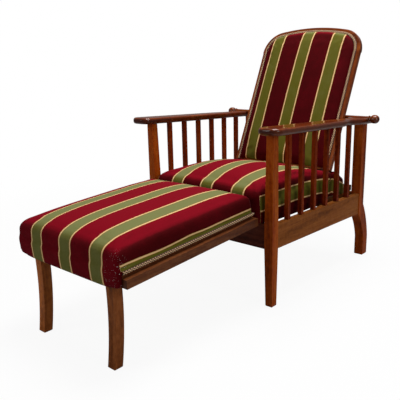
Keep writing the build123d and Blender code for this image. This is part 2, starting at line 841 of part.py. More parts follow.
def footrest_rear_rail():
    inner = foot_member_outer_x - foot_member_width
    outline = [
        (-inner, foot_plane_rear_z),
        (-slide_x - slide_width, slide_top()),
        (slide_x + slide_width, slide_top()),
        (inner, foot_plane_rear_z),
        (inner, foot_plane_rear_z + foot_member_height - foot_rail_thickness * foot_rise),
        (-inner, foot_plane_rear_z + foot_member_height - foot_rail_thickness * foot_rise),
    ]
    return front_piece(outline, foot_plane_rear_y - foot_rail_thickness, foot_plane_rear_y)


# Sabre legs of the footrest, lapped behind the front rail.
def footrest_leg():
    top = foot_plane(foot_leg_top_y) - foot_rail_drop
    lap_y = runner_front_y + foot_rail_thickness / math.cos(math.radians(foot_slope))
    back_top = foot_leg_top_y + foot_leg_top_depth
    back_foot = foot_leg_foot_y + foot_leg_foot_depth
    rail_sine = math.tan(math.radians(foot_slope)) * foot_rail_drop
    lap_low = lap_y + rail_sine
    lap_high = lap_y - math.tan(math.radians(foot_slope)) * foot_leg_lap
    front_bow = ((foot_leg_top_y + foot_leg_foot_y) / 2 + foot_leg_bow, top / 2)
    back_bow = ((back_top + back_foot) / 2 + foot_leg_bow, top / 2)

    def under(y):
        return foot_plane(y) - foot_rail_drop / math.cos(math.radians(foot_slope))

    p = [(0, y, z) for y, z in (
        (foot_leg_foot_y, 0), front_bow, (foot_leg_top_y, under(foot_leg_top_y)), (lap_low, under(lap_low)),
        (lap_high, foot_plane(lap_high) + foot_leg_lap), (back_top, foot_plane(back_top) + foot_leg_lap),
        (back_top, top), back_bow, (back_foot, 0))]
    edges = [
        ThreePointArc(p[0], p[1], p[2]),
        Line(p[2], p[3]),
        Line(p[3], p[4]),
        Line(p[4], p[5]),
        Line(p[5], p[6]),
        ThreePointArc(p[6], p[7], p[8]),
        Line(p[8], p[0]),
    ]
    inner = foot_leg_outer_x - foot_leg_width
    leg = Pos(inner, 0, 0) * extrude(make_face(Wire(edges)), amount=foot_leg_width, dir=(1, 0, 0))
    return chamfer(leg.faces().sort_by(Axis.Z)[0].edges(), foot_chamfer)


def slide_top():
    """Top of the level slides, just under the seat frame at their rear ends."""
    return rail_top_height - slide_top_drop


def slide_bottom():
    return slide_top() - slide_height


# Level slide: runs through its notch in the front rail and stops there on a cross pin.
def footrest_slide():
    y_front = foot_plane_rear_y - foot_rail_thickness - slide_tail
    pin_y = rail_setback + rail_thickness + slide_fit + slide_travel + stop_pin_diameter / 2
    y_rear = pin_y + slide_tail / 2
    bar = block(slide_x - slide_width / 2, slide_x + slide_width / 2, y_front, y_rear, slide_bottom(), slide_top())
    pin = Pos(slide_x, pin_y, (slide_bottom() + slide_top()) / 2) * Rot(0, 90, 0)
    return bar + pin * Cylinder(stop_pin_diameter / 2, slide_width + 2 * stop_pin_overhang)


def footrest_webbing():
    y_start = foot_local_y(runner_front_y) + foot_rail_thickness / 3
    y_end = -foot_rail_thickness / 3
    reach = foot_member_outer_x - foot_member_width / 3
    return on_foot_slope(lattice(reach, y_start, y_end, webbing_strands + 1, webbing_strands - 1, foot_member_height))


# Footrest pad: crowned, with a round front that drapes over the front rail.
def footrest_pad():
    width_shares = (-1, -0.96, -0.86, -0.6, 0, 0.6, 0.86, 0.96, 1)
    side_share = 0.9
    front = foot_local_y(foot_pad_front_y)
    sections = []
    for share in width_shares:
        fall = flank_inset(share)
        draw = foot_pad_draw_in * (1 - fall)
        crown = foot_pad_crown * (1 - side_share * share ** 2)
        side_top = foot_pad_side_top - draw * 3
        hem = -foot_pad_flap + foot_pad_hem_lift * (1 - fall)
        y_front = front + draw
        y_rear = -soft_gap - draw
        front_turn = foot_pad_front_radius * (1 - math.sqrt(2) / 2)
        rear_turn = foot_pad_rear_radius * (1 - math.sqrt(2) / 2)
        middle = ((y_front + y_rear) / 2, side_top + crown)
        points = [
            (y_front, hem),
            (y_front, side_top - foot_pad_front_radius),
            (y_front + front_turn, side_top - front_turn),
            (y_front + foot_pad_front_radius, side_top),
            middle,
            (y_rear - foot_pad_rear_radius, side_top),
            (y_rear - rear_turn, side_top - rear_turn),
            (y_rear, side_top - foot_pad_rear_radius),
            (y_rear, hem),
        ]
        p = [(share * foot_pad_half_width, y, z) for y, z in points]
        edges = [
            Line(p[0], p[1]),
            ThreePointArc(p[1], p[2], p[3]),
            ThreePointArc(p[3], p[4], p[5]),
            ThreePointArc(p[5], p[6], p[7]),
            Line(p[7], p[8]),
            Line(p[8], p[0]),
        ]
        sections.append(make_face(Wire(edges)))
    pad = loft(sections)
    y_cut = foot_local_y(runner_front_y)
    level = foot_member_height + webbing_thickness
    hollow = block(-post_span, post_span, y_cut, foot_pad_front_radius, -rail_height, level)
    return on_foot_slope(pad - hollow)


def build():
    add_pair("front_post", front_post())
    add_pair("rear_post", rear_post())
    add_pair("side_rail", side_rail())
    add("front_rail", front_rail())
    add("rear_rail", rear_rail())
    add_pair("corner_block", corner_block())
    for index in range(slats_per_side):
        piece = slat(slat_first_y + index * slat_pitch)
        add("slat_left_%d" % (index + 1), piece)
        add("slat_right_%d" % (index + 1), mirror(piece, about=Plane.YZ))
    add_pair("arm", arm())
    side, front, rear = seat_boards()
    add_pair("seat_side_member", side)
    add("seat_front_member", front)
    add("seat_rear_member", rear)
    add("seat_hinge_rail", seat_hinge_rail())
    add("seat_webbing", seat_webbing())
    add("seat_cushion", seat_cushion())
    border, flank = seat_borders()
    add("seat_front_border", border)
    add_pair("seat_flank", flank)
    add("seat_rear_stuffing", seat_rear_stuffing())
    upper, lower, pin = hinge_pieces(hinge_x)
    add_pair("hinge_upper_leaf", upper)
    add_pair("hinge_lower_leaf", lower)
    add_pair("hinge_pin", pin)
    top_rail, spring = back_top_rail()
    add("back_top_rail", top_rail)
    add_pair("back_stile", back_stile(spring))
    add("back_bottom_rail", back_bottom_rail())
    add("back_pad", back_pad())
    add("back_lining", back_lining())
    add("support_bar", support_bar())
    add_pair("footrest_runner", footrest_runner())
    add("footrest_front_rail", footrest_front_rail())
    add("footrest_rear_rail", footrest_rear_rail())
    add_pair("footrest_leg", footrest_leg())
    add_pair("footrest_slide", footrest_slide())
    add("footrest_webbing", footrest_webbing())
    add("footrest_pad", footrest_pad())


build()
os.makedirs("parts", exist_ok=True)
for name, shape in nodes.items():
    export_step(Pos(0, -middle_y, 0) * shape, "parts/%s.step" % name)
pin_y, pin_z = on_back(back_bottom_along - hinge_gap / 2, back_thickness + knuckle_radius)
print("nodes", len(nodes))
print("hinge axis", round(pin_y - middle_y, 3), round(pin_z, 3))
print("bar axis", [round(v, 3) for v in (notch_centre(0)[0] - middle_y, notch_centre(0)[1])])
print("bar end", [round(v, 3) for v in (notch_centre(notch_travel)[0] - middle_y, notch_centre(notch_travel)[1])])
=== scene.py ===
import math
import bpy
import numpy as np
from mathutils import Matrix, Vector


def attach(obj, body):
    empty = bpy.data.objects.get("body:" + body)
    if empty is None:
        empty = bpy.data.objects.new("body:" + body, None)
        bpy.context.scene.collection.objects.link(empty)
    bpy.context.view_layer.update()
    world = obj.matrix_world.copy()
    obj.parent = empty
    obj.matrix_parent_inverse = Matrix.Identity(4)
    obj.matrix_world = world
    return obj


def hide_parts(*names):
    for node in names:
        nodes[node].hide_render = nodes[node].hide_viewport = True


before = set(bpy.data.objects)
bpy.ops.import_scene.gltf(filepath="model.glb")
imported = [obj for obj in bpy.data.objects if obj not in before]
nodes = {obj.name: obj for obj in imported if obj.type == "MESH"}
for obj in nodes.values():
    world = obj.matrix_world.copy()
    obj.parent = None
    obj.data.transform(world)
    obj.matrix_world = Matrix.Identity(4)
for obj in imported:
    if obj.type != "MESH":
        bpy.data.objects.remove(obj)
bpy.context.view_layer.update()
print("chair frame loaded:", len(nodes), "pieces")

# The soft pieces are drawn from the front faces of the front posts, middleY ahead of the origin.
# The rails' top is at railTop there and falls towards the rear.
chairSet = {"middleY": 0.06617, "railTop": 0.3052, "railFall": 0.018328}
middleY = chairSet["middleY"]


# camera and lamps
cameraSet = {
    "place": (1.3534, -1.5909, 0.8751),
    "turn": 42.2,
    "pitch": -14.4,
    "roll": -1.3,
    "lens": 50.24,
    "sensor": 36,
}


def makeCamera(spec):
    # forward from turn and pitch, then the frame is rolled about it
    turn, pitch, roll = (math.radians(spec[k]) for k in ("turn", "pitch", "roll"))
    ahead = math.cos(pitch)
    forward = Vector((-math.sin(turn) * ahead, math.cos(turn) * ahead, math.sin(pitch)))
    level = Vector((math.cos(turn), math.sin(turn), 0))
    upright = level.cross(forward)
    right = level * math.cos(roll) + upright * math.sin(roll)
    up = upright * math.cos(roll) - level * math.sin(roll)
    data = bpy.data.cameras.new("camera")
    data.lens = spec["lens"]
    data.sensor_width = spec["sensor"]
    camera = bpy.data.objects.new("camera", data)
    bpy.context.scene.collection.objects.link(camera)
    turned = Matrix((right, up, -forward)).transposed()
    camera.matrix_world = Matrix.Translation(Vector(spec["place"])) @ turned.to_4x4()
    bpy.context.scene.camera = camera


makeCamera(cameraSet)

# two small lamps in front give the polished arms their bright spots
lampSet = {
    "overhead": {"place": (0.25, 0.55, 3.6), "aim": (0, 0, 0.4), "size": (1.7, 1.7), "power": 108},
    "window": {"place": (-1.4, -2.8, 1.7), "aim": (0, 0, 0.4), "size": (0.6, 1.0), "power": 13},
    "side": {"place": (2.9, -0.5, 1.5), "aim": (0, 0.1, 0.4), "size": (0.7, 1.1), "power": 14},
    "sparkLeft": {"place": (-0.9, -3.0, 2.3), "aim": (0, -0.2, 0.6), "size": (0.08, 0.12), "power": 1.7},
    "sparkRight": {"place": (1.1, -3.1, 2.0), "aim": (0, -0.2, 0.6), "size": (0.08, 0.12), "power": 1.7},
}


def makeLamp(name, spec):
    data = bpy.data.lights.new(name, "AREA")
    data.shape = "RECTANGLE"
    data.size, data.size_y = spec["size"]
    data.energy = spec["power"]
    lamp = bpy.data.objects.new(name, data)
    lamp.location = spec["place"]
    aim = Vector(spec["aim"]) - Vector(spec["place"])
    lamp.rotation_mode = "QUATERNION"
    lamp.rotation_quaternion = aim.to_track_quat("-Z", "Y")
    bpy.context.scene.collection.objects.link(lamp)


for lampName, lamp in lampSet.items():
    makeLamp(lampName, lamp)
bpy.context.scene.view_settings.view_transform = "Standard"


# shader sums written as sums
class Signal:
    # a socket whose sums and products add Math nodes to its tree
    def __init__(self, tree, socket):
        self.tree = tree
        self.socket = socket

    def math(self, operation, *values):
        made = self.tree.nodes.new("ShaderNodeMath")
        made.operation = operation
        for place, value in enumerate(values):
            if isinstance(value, Signal):
                self.tree.links.new(value.socket, made.inputs[place])
            else:
                made.inputs[place].default_value = value
        return Signal(self.tree, made.outputs[0])

    def __add__(self, other):
        return self.math("ADD", self, other)

    def __radd__(self, other):
        return self.math("ADD", other, self)

    def __sub__(self, other):
        return self.math("SUBTRACT", self, other)

    def __rsub__(self, other):
        return self.math("SUBTRACT", other, self)

    def __mul__(self, other):
        return self.math("MULTIPLY", self, other)

    def __rmul__(self, other):
        return self.math("MULTIPLY", other, self)

    def __truediv__(self, other):
        return self.math("DIVIDE", self, other)

    def __rtruediv__(self, other):
        return self.math("DIVIDE", other, self)

    def __abs__(self):
        return self.math("ABSOLUTE", self)

    def sine(self):
        return self.math("SINE", self)


class NodeTree:
    # a node tree, emptied, and the ways it adds nodes
    def __init__(self, tree):
        self.tree = tree
        tree.nodes.clear()

    def node(self, kind, settings, sockets, output=0):
        made = self.tree.nodes.new(kind)
        for key, value in settings.items():
            if key == "stops":
                ramp = made.color_ramp
                while len(ramp.elements) < len(value):
                    ramp.elements.new(0.5)
                for element, (place, colour) in zip(ramp.elements, value):
                    element.position = place
                    element.color = (*colour, 1)
            else:
                setattr(made, key, value)
        for key, value in sockets.items():
            socket = made.inputs[key]
            if isinstance(value, Signal):
                self.tree.links.new(value.socket, socket)
            elif socket.type == "RGBA":
                socket.default_value = (*value, 1)
            else:
                socket.default_value = value
        return Signal(self.tree, made.outputs[output]) if made.outputs else None

    def rays(self, kind):
        return self.node("ShaderNodeLightPath", {}, {}, "Is %s Ray" % kind)

    def blend(self, share, first, second):
        return self.node("ShaderNodeMixShader", {}, {0: share, 1: first, 2: second})


class Paint(NodeTree):
    # one material and the nodes that most of them use
    def __init__(self, name):
        self.material = bpy.data.materials.new(name)
        self.material.use_nodes = True
        super().__init__(self.material.node_tree)

    def place(self, turn=(0, 0, 0)):
        spot = self.node("ShaderNodeTexCoord", {}, {}, "Object")
        return self.node("ShaderNodeMapping", {}, {"Vector": spot, "Rotation": turn})

    def attribute(self, name):
        return self.node("ShaderNodeAttribute", {"attribute_name": name}, {}, "Fac")

    def dot(self, first, second):
        settings = {"operation": "DOT_PRODUCT"}
        return self.node("ShaderNodeVectorMath", settings, {0: first, 1: second}, "Value")

    def noise(self, spot, scale, detail=3.0, roughness=0.55, distortion=0.0):
        sockets = {"Vector": spot, "Scale": scale, "Detail": detail, "Roughness": roughness}
        sockets["Distortion"] = distortion
        return self.node("ShaderNodeTexNoise", {}, sockets, "Fac")

    def step(self, value, low, high):
        # 0 below low, 1 above high, smooth between
        sockets = {"Value": value, "From Min": low, "From Max": high, "To Min": 0.0, "To Max": 1.0}
        return self.node("ShaderNodeMapRange", {"interpolation_type": "SMOOTHSTEP"}, sockets)

    def mix(self, share, first, second):
        sockets = {0: share, 6: first, 7: second}
        return self.node("ShaderNodeMix", {"data_type": "RGBA"}, sockets, 2)

    def ramp(self, value, stops):
        return self.node("ShaderNodeValToRGB", {"stops": stops}, {"Fac": value})

    def bump(self, height, strength, distance, over=None):
        sockets = {"Height": height, "Strength": strength, "Distance": distance}
        if over:
            sockets["Normal"] = over
        return self.node("ShaderNodeBump", {}, sockets)

    def finish(self, sockets):
        shader = self.node("ShaderNodeBsdfPrincipled", {}, sockets)
        self.node("ShaderNodeOutputMaterial", {}, {"Surface": shader})
        return self.material


# mesh helpers
def makeObject(name, cloud, faces):
    mesh = bpy.data.meshes.new(name)
    mesh.from_pydata(np.asarray(cloud, float).tolist(), [], [list(face) for face in faces])
    mesh.update()
    mesh.polygons.foreach_set("use_smooth", np.ones(len(mesh.polygons), bool))
    made = bpy.data.objects.new(name, mesh)
    bpy.context.scene.collection.objects.link(made)
    return made


def gridFaces(rows, columns, wrapRows=False, wrapColumns=True):
    # quads between neighbouring grid points, rows first
    r = np.arange(rows if wrapRows else rows - 1)
    c = np.arange(columns if wrapColumns else columns - 1)
    r, c = np.meshgrid(r, c, indexing="ij")
    nextR, nextC = (r + 1) % rows, (c + 1) % columns
    corners = [r * columns + c, r * columns + nextC, nextR * columns + nextC, nextR * columns + c]
    return np.stack(corners, -1).reshape(-1, 4).tolist()


def pointsOf(made):
    out = np.empty(len(made.data.vertices) * 3)
    made.data.vertices.foreach_get("co", out)
    return out.reshape(-1, 3)


def normalsOf(made):
    out = np.empty(len(made.data.vertices) * 3)
    made.data.vertex_normals.foreach_get("vector", out)
    return out.reshape(-1, 3)


def setPoints(made, spots):
    made.data.vertices.foreach_set("co", np.asarray(spots, float).ravel())
    made.data.update()


def setNumber(made, name, values):
    layer = made.data.attributes.get(name) or made.data.attributes.new(name, "FLOAT", "POINT")
    layer.data.foreach_set("value", np.asarray(values, np.float32))


def applyModifier(made, name):
    bpy.context.view_layer.objects.active = made
    made.select_set(True)
    bpy.ops.object.modifier_apply(modifier=name)
    made.select_set(False)


def remesh(made, size):
    change = made.modifiers.new("remesh", "REMESH")
    change.mode = "VOXEL"
    change.voxel_size = size
    change.use_smooth_shade = True
    applyModifier(made, "remesh")


def subdivide(made):
    change = made.modifiers.new("round", "SUBSURF")
    change.levels = 1
    change.render_levels = 1
    applyModifier(made, "round")


clothSet = {"pressure": 4.0, "frames": 20, "quality": 5, "shortest": 1e-9}


def puffUp(made, pinned, cap, pressure=clothSet["pressure"]):
    # cloth under pressure, with each point held within cap of where it began
    began = pointsOf(made).copy()
    group = made.vertex_groups.new(name="held")
    group.add(np.nonzero(pinned)[0].tolist(), 1.0, "REPLACE")
    change = made.modifiers.new("cloth", "CLOTH")
    settings = change.settings
    settings.use_pressure = True
    settings.uniform_pressure_force = pressure
    settings.effector_weights.gravity = 0
    settings.vertex_group_mass = "held"
    settings.quality = clothSet["quality"]
    scene = bpy.context.scene
    for step in range(1, clothSet["frames"] + 1):
        scene.frame_set(step)
    applyModifier(made, "cloth")
    made.vertex_groups.clear()
    moved = pointsOf(made) - began
    length = np.linalg.norm(moved, axis=1, keepdims=True)
    moved *= np.minimum(1, cap / np.maximum(length, clothSet["shortest"]))
    setPoints(made, began + moved)
    scene.frame_set(1)


# room and floor
roomSet = {"colour": (0.95, 0.95, 0.96), "strength": 0.14, "white": (1, 1, 1), "glossShare": 0.06}
floorSet = {
    "reach": 40.0, "white": 0.93, "fadeFrom": 0.9, "fadeTo": 2.4, "cloudScale": 0.7,
    "dark": (0.36, 0.36, 0.36), "light": (0.40, 0.40, 0.40), "seen": (0.94, 0.94, 0.94),
}


def makeRoom(spec):
    world = bpy.data.worlds.new("paleRoom")
    bpy.context.scene.world = world
    world.use_nodes = True
    room = NodeTree(world.node_tree)
    # gloss sees a small share of the white, which keeps the dark wood deep
    seen = room.rays("Camera") + room.rays("Transmission") + room.rays("Glossy") * spec["glossShare"]
    dim = room.node("ShaderNodeBackground", {}, {"Color": spec["colour"], "Strength": spec["strength"]})
    white = room.node("ShaderNodeBackground", {}, {"Color": spec["white"]})
    room.node("ShaderNodeOutputWorld", {}, {"Surface": room.blend(seen, dim, white)})


def makeFloor(spec):
    reach = spec["reach"]
    corners = [(-reach, -reach, 0), (reach, -reach, 0), (reach, reach, 0), (-reach, reach, 0)]
    floor = makeObject("floor", corners, [(0, 1, 2, 3)])
    paint = Paint("paleFloor")
    spot = paint.place()
    cloudy = paint.noise(spot, spec["cloudScale"])
    # the shadow is kept near the chair and fades into plain white further out
    away = paint.node("ShaderNodeVectorMath", {"operation": "LENGTH"}, {0: spot}, "Value")
    white = spec["white"] + paint.step(away, spec["fadeFrom"], spec["fadeTo"]) * (1 - spec["white"])
    tone = paint.mix(cloudy, spec["dark"], spec["light"])
    real = paint.node("ShaderNodeBsdfDiffuse", {}, {"Color": tone})
    under = paint.node("ShaderNodeBsdfDiffuse", {}, {"Color": spec["seen"]})
    shown = paint.node("ShaderNodeEmission", {}, {"Color": roomSet["white"], "Strength": 1.0})
    looked = paint.blend(white, under, shown)
    bounce = paint.blend(paint.rays("Glossy") * roomSet["glossShare"], real, shown)
    whole = paint.blend(paint.rays("Camera"), bounce, looked)
    paint.node("ShaderNodeOutputMaterial", {}, {"Surface": whole})
    floor.data.materials.append(paint.material)


makeRoom(roomSet)
makeFloor(floorSet)
print("camera, lamps and floor are set")


# wood: dark, middle and light tone of each kind, then its polish
woodSet = {
    "arm": {
        "tones": ((0.050, 0.005, 0.0004), (0.200, 0.034, 0.0020), (0.420, 0.115, 0.010)),
        # rim: share of painted shade on the arm's sides and ends
        "gloss": 0.24, "shine": 0.10, "coat": 0.70, "rim": 0.60,
    },
    "frame": {
        "tones": ((0.08, 0.011, 0.0015), (0.25, 0.05, 0.006), (0.4, 0.115, 0.02)),
        "gloss": 0.22, "shine": 0.16,
    },
    "post": {
        "tones": ((0.11, 0.011, 0.001), (0.4, 0.062, 0.004), (0.56, 0.14, 0.014)),
        "gloss": 0.3, "shine": 0.05,
    },
    "slat": {
        "tones": ((0.09, 0.008, 0.0008), (0.27, 0.032, 0.002), (0.42, 0.085, 0.01)),
        "gloss": 0.3, "shine": 0.04,
    },
    "rail": {
        "tones": ((0.13, 0.034, 0.004), (0.32, 0.094, 0.016), (0.47, 0.165, 0.04)),
        "gloss": 0.4, "shine": 0.05,
    },
    "front": {
        "tones": ((0.036, 0.005, 0.002), (0.11, 0.02, 0.01), (0.19, 0.048, 0.022)),
        "gloss": 0.42, "shine": 0.08,
    },
    "leg": {
        "tones": ((0.13, 0.032, 0.007), (0.34, 0.098, 0.024), (0.5, 0.18, 0.052)),
        "gloss": 0.36, "shine": 0.05,
    },
    # a lighter copy of the leg wood for the far leg: painted light for the extra light that falls on that
    # leg
    "paleLeg": {
        "tones": ((0.21, 0.052, 0.01), (0.52, 0.15, 0.034), (0.68, 0.26, 0.075)),
        "gloss": 0.36, "shine": 0.05,
    },
    "runner": {
        "tones": ((0.05, 0.01, 0.002), (0.13, 0.034, 0.009), (0.24, 0.08, 0.024)),
        "gloss": 0.36, "shine": 0.1,
    },
    "hidden": {
        "tones": ((0.11, 0.05, 0.022), (0.21, 0.105, 0.05), (0.3, 0.165, 0.085)),
        "gloss": 0.55, "shine": 0.04,
    },
}

# the grain that all of them share: noises as scale, detail, roughness and distortion, shares in the
# tone, and the bounds of each smooth step
grainSet = {
    "stretch": (1.0, 1.0, 0.07), "poreStretch": (1.0, 1.0, 0.035),
    "poreNoise": (900.0, 2.0), "figureNoise": (42.0, 5.0, 0.62, 0.8),
    "broadNoise": (9.0, 2.0, 0.5, 0.4), "mottleNoise": (60.0, 3.0, 0.6),
    "figure": 0.62, "broad": 0.36, "mottle": 0.26, "tone": 0.12,
    "stops": (0.34, 0.52, 0.74), "pores": (0.60, 0.70), "fleck": 0.55,
    "ends": (0.62, 0.97), "endShare": 0.75, "level": (0.30, 0.92),
    # worn: share of the lighter arris colour, partly wear and partly painted highlight
    "arris": 0.0016, "arrisSamples": 4, "leaves": (0.02, 0.20), "patches": (0.30, 0.62), "worn": 0.55,
    "mottleRough": 0.16, "fleckRough": 0.08, "wornRough": 0.10,
    "figureHeight": 0.4, "fleckHeight": 0.6, "bump": 0.10, "bumpDepth": 0.0006,
    "coatRough": 0.05, "coatTint": (1.0, 0.95, 0.88),
}
# each way that the grain runs: the pattern's turn, and the direction itself
grainTurns = {
    "x": (0, math.radians(90), 0), "y": (math.radians(90), 0, 0), "z": (0, 0, 0),
    "lean": (math.radians(24.3), 0, 0),
}
grainAxes = {"x": (1, 0, 0), "y": (0, 1, 0), "z": (0, 0, 1), "lean": (0, 0.412, 0.911)}


def makeWood(tone, grain):
    spec, own = woodSet[tone], grainSet
    dark, middle, light = spec["tones"]
    paint = Paint(tone + "Wood" + grain.capitalize())
    spot = paint.place(grainTurns[grain])
    along = paint.node("ShaderNodeMapping", {}, {"Vector": spot, "Scale": own["stretch"]})
    fine = paint.node("ShaderNodeMapping", {}, {"Vector": spot, "Scale": own["poreStretch"]})
    pores = paint.noise(fine, *own["poreNoise"])
    figure = paint.noise(along, *own["figureNoise"])
    broad = paint.noise(along, *own["broadNoise"])
    mottle = paint.noise(spot, *own["mottleNoise"])
    shade = figure * own["figure"] + broad * own["broad"] + mottle * own["mottle"] - own["tone"]
    colour = paint.ramp(shade, list(zip(own["stops"], (dark, middle, light))))
    flecks = paint.step(pores, *own["pores"])
    colour = paint.mix(flecks * own["fleck"], colour, dark)
    # end grain drinks the polish and stays darker
    facing = paint.node("ShaderNodeTexCoord", {}, {}, "Normal")
    ends = paint.step(abs(paint.dot(facing, grainAxes[grain])), *own["ends"])
    colour = paint.mix(ends * own["endShare"], colour, dark)
    if "rim" in spec:
        # painted shade: the rounded sides and ends, which face away from the lamp overhead, are painted
        # darker than the level top
        level = paint.step(paint.dot(facing, (0, 0, 1)), *own["level"])
        colour = paint.mix((1 - level) * spec["rim"], colour, dark)
    # worn arrises: the rounded normal leaves the flat one near an edge; the lighter edge colour is partly
    # real wear and partly a painted highlight along the arris
    rounded = paint.node("ShaderNodeBevel", {"samples": own["arrisSamples"]}, {"Radius": own["arris"]})
    flat = paint.node("ShaderNodeNewGeometry", {}, {}, "Normal")
    worn = paint.step(1 - paint.dot(rounded, flat), *own["leaves"]) * paint.step(mottle, *own["patches"])
    colour = paint.mix(worn * own["worn"], colour, light)
    roughness = spec["gloss"] + own["mottleRough"] * mottle + own["fleckRough"] * flecks
    height = figure * own["figureHeight"] - flecks * own["fleckHeight"]
    return paint.finish({
        "Base Color": colour,
        "Roughness": roughness + own["wornRough"] * worn,
        "Specular IOR Level": spec["shine"],
        "Normal": paint.bump(height, own["bump"], own["bumpDepth"], rounded),
        "Coat Weight": spec.get("coat", spec["shine"]),
        "Coat Roughness": own["coatRough"],
        "Coat Tint": own["coatTint"],
    })


def dress(material, names):
    for name in names:
        mesh = nodes[name].data
        mesh.materials.clear()
        mesh.materials.append(material)


def bothSides(*names):
    return [name + side for name in names for side in ("_left", "_right")]


woodPlan = {
    ("post", "z"): bothSides("front_post", "rear_post"),
    ("slat", "z"): [name for name in nodes if name.startswith("slat_")],
    ("arm", "y"): bothSides("arm"),
    ("arm", "x"): ["support_bar"],
    ("frame", "x"): ["back_top_rail"],
    ("frame", "lean"): bothSides("back_stile"),
    ("rail", "y"): bothSides("side_rail"),
    ("runner", "y"): bothSides("footrest_runner"),
    ("rail", "x"): ["rear_rail", "back_bottom_rail"],
    ("front", "x"): ["front_rail"],
    ("leg", "z"): ["footrest_leg_left"],
    ("paleLeg", "z"): ["footrest_leg_right"],
    ("hidden", "x"): [
        "seat_front_member", "seat_rear_member", "seat_hinge_rail",
        "footrest_front_rail", "footrest_rear_rail",
    ],
    ("hidden", "y"): bothSides("seat_side_member", "footrest_slide"),
    ("hidden", "z"): bothSides("corner_block"),
}
for (tone, grain), names in woodPlan.items():
    dress(makeWood(tone, grain), names)
print("wood is dressed")


# iron, webbing and lining
ironSet = {
    "noise": (180.0, 4.0), "stops": [(0.35, (0.045, 0.040, 0.038)), (0.70, (0.16, 0.145, 0.13))],
    "metal": 0.9, "rough": 0.38, "wornRough": 0.3, "bump": 0.15, "bumpDepth": 0.0003,
}
webbingSet = {
    "thread": 0.004, "dark": (0.20, 0.13, 0.07), "light": (0.48, 0.36, 0.21), "noise": (300.0, 4.0),
}
liningSet = {
    "thread": 0.0016, "dark": (0.018, 0.013, 0.012), "light": (0.050, 0.036, 0.032), "noise": (500.0, 4.0),
}
weaveSet = {
    "cross": 0.5, "depth": 0.12, "weave": 0.7, "fuzz": 0.35, "rough": 0.86, "fuzzRough": 0.1, "sheen": 0.15,
    "bump": 0.35, "bumpDepth": 0.0006,
}


def makeIron(spec):
    paint = Paint("darkIron")
    worn = paint.noise(paint.place(), *spec["noise"])
    return paint.finish({
        "Base Color": paint.ramp(worn, spec["stops"]),
        "Metallic": spec["metal"],
        "Roughness": spec["rough"] + worn * spec["wornRough"],
        "Normal": paint.bump(worn, spec["bump"], spec["bumpDepth"]),
    })


def makeWeave(name, spec):
    # over-and-under threads: the product of two sine waves, with a little of an upright third
    own = weaveSet
    paint = Paint(name)
    spot = paint.place()
    axes = [paint.node("ShaderNodeSeparateXYZ", {}, {"Vector": spot}, axis) for axis in ("X", "Y", "Z")]
    x, y, z = ((axis * (math.tau / spec["thread"])).sine() for axis in axes)
    cloth = x * y * own["cross"] + own["cross"] + z * own["depth"]
    fuzz = paint.noise(spot, *spec["noise"])
    return paint.finish({
        "Base Color": paint.mix(cloth * own["weave"] + fuzz * own["fuzz"], spec["dark"], spec["light"]),
        "Roughness": own["rough"] + fuzz * own["fuzzRough"],
        "Sheen Weight": own["sheen"],
        "Normal": paint.bump(cloth + fuzz, own["bump"], own["bumpDepth"]),
    })


dress(makeIron(ironSet), [name for name in nodes if name.startswith("hinge_")])
dress(makeWeave("juteWebbing", webbingSet), ["seat_webbing", "footrest_webbing"])
dress(makeWeave("darkLining", liningSet), ["back_lining"])
print("iron, webbing and lining are dressed")


# striped velvet
velvetSet = {
    "pitch": 0.148, "greenWidth": 0.0475, "lineWidth": 0.0068, "soft": 0.0006,
    # the dark copies of crimson and green are painted shade, used on cloth that stands upright
    "crimson": (0.232, 0.0004, 0.0085), "crimsonPaintedShade": (0.062, 0.0002, 0.0012),
    "green": (0.205, 0.212, 0.074), "greenPaintedShade": (0.120, 0.110, 0.010),
    "gold": (0.95, 0.66, 0.33), "goldEdge": (0.46, 0.20, 0.020), "edgeFrom": 0.40, "edgeTo": 0.95,
    "wanderNoise": (9.0, 2.0), "wander": 0.003,
    "pileNoise": (900.0, 2.0), "napNoise": (26.0, 4.0, 0.6), "broadNoise": (6.0, 2.0),
    "nap": 0.45, "broad": 0.4, "tone": 0.42, "pile": 0.45,
    "rib": 0.0021, "ribShare": 0.22, "lint": (0.95, 0.90, 0.82), "lintNoise": (380.0, 1.0),
    "lintSpecks": (0.712, 0.722), "lintFades": (0.05, 0.6),
    "pileHeight": 0.5, "napHeight": 0.3, "lineDepth": 0.9, "ribHeight": 0.4,
    "bump": 0.35, "bumpDepth": 0.0010, "rough": 0.82, "lineSmooth": 0.22, "shine": 0.06,
    "sheen": 0.04, "sheenRough": 0.35, "sheenTint": (1.0, 0.66, 0.66),
}


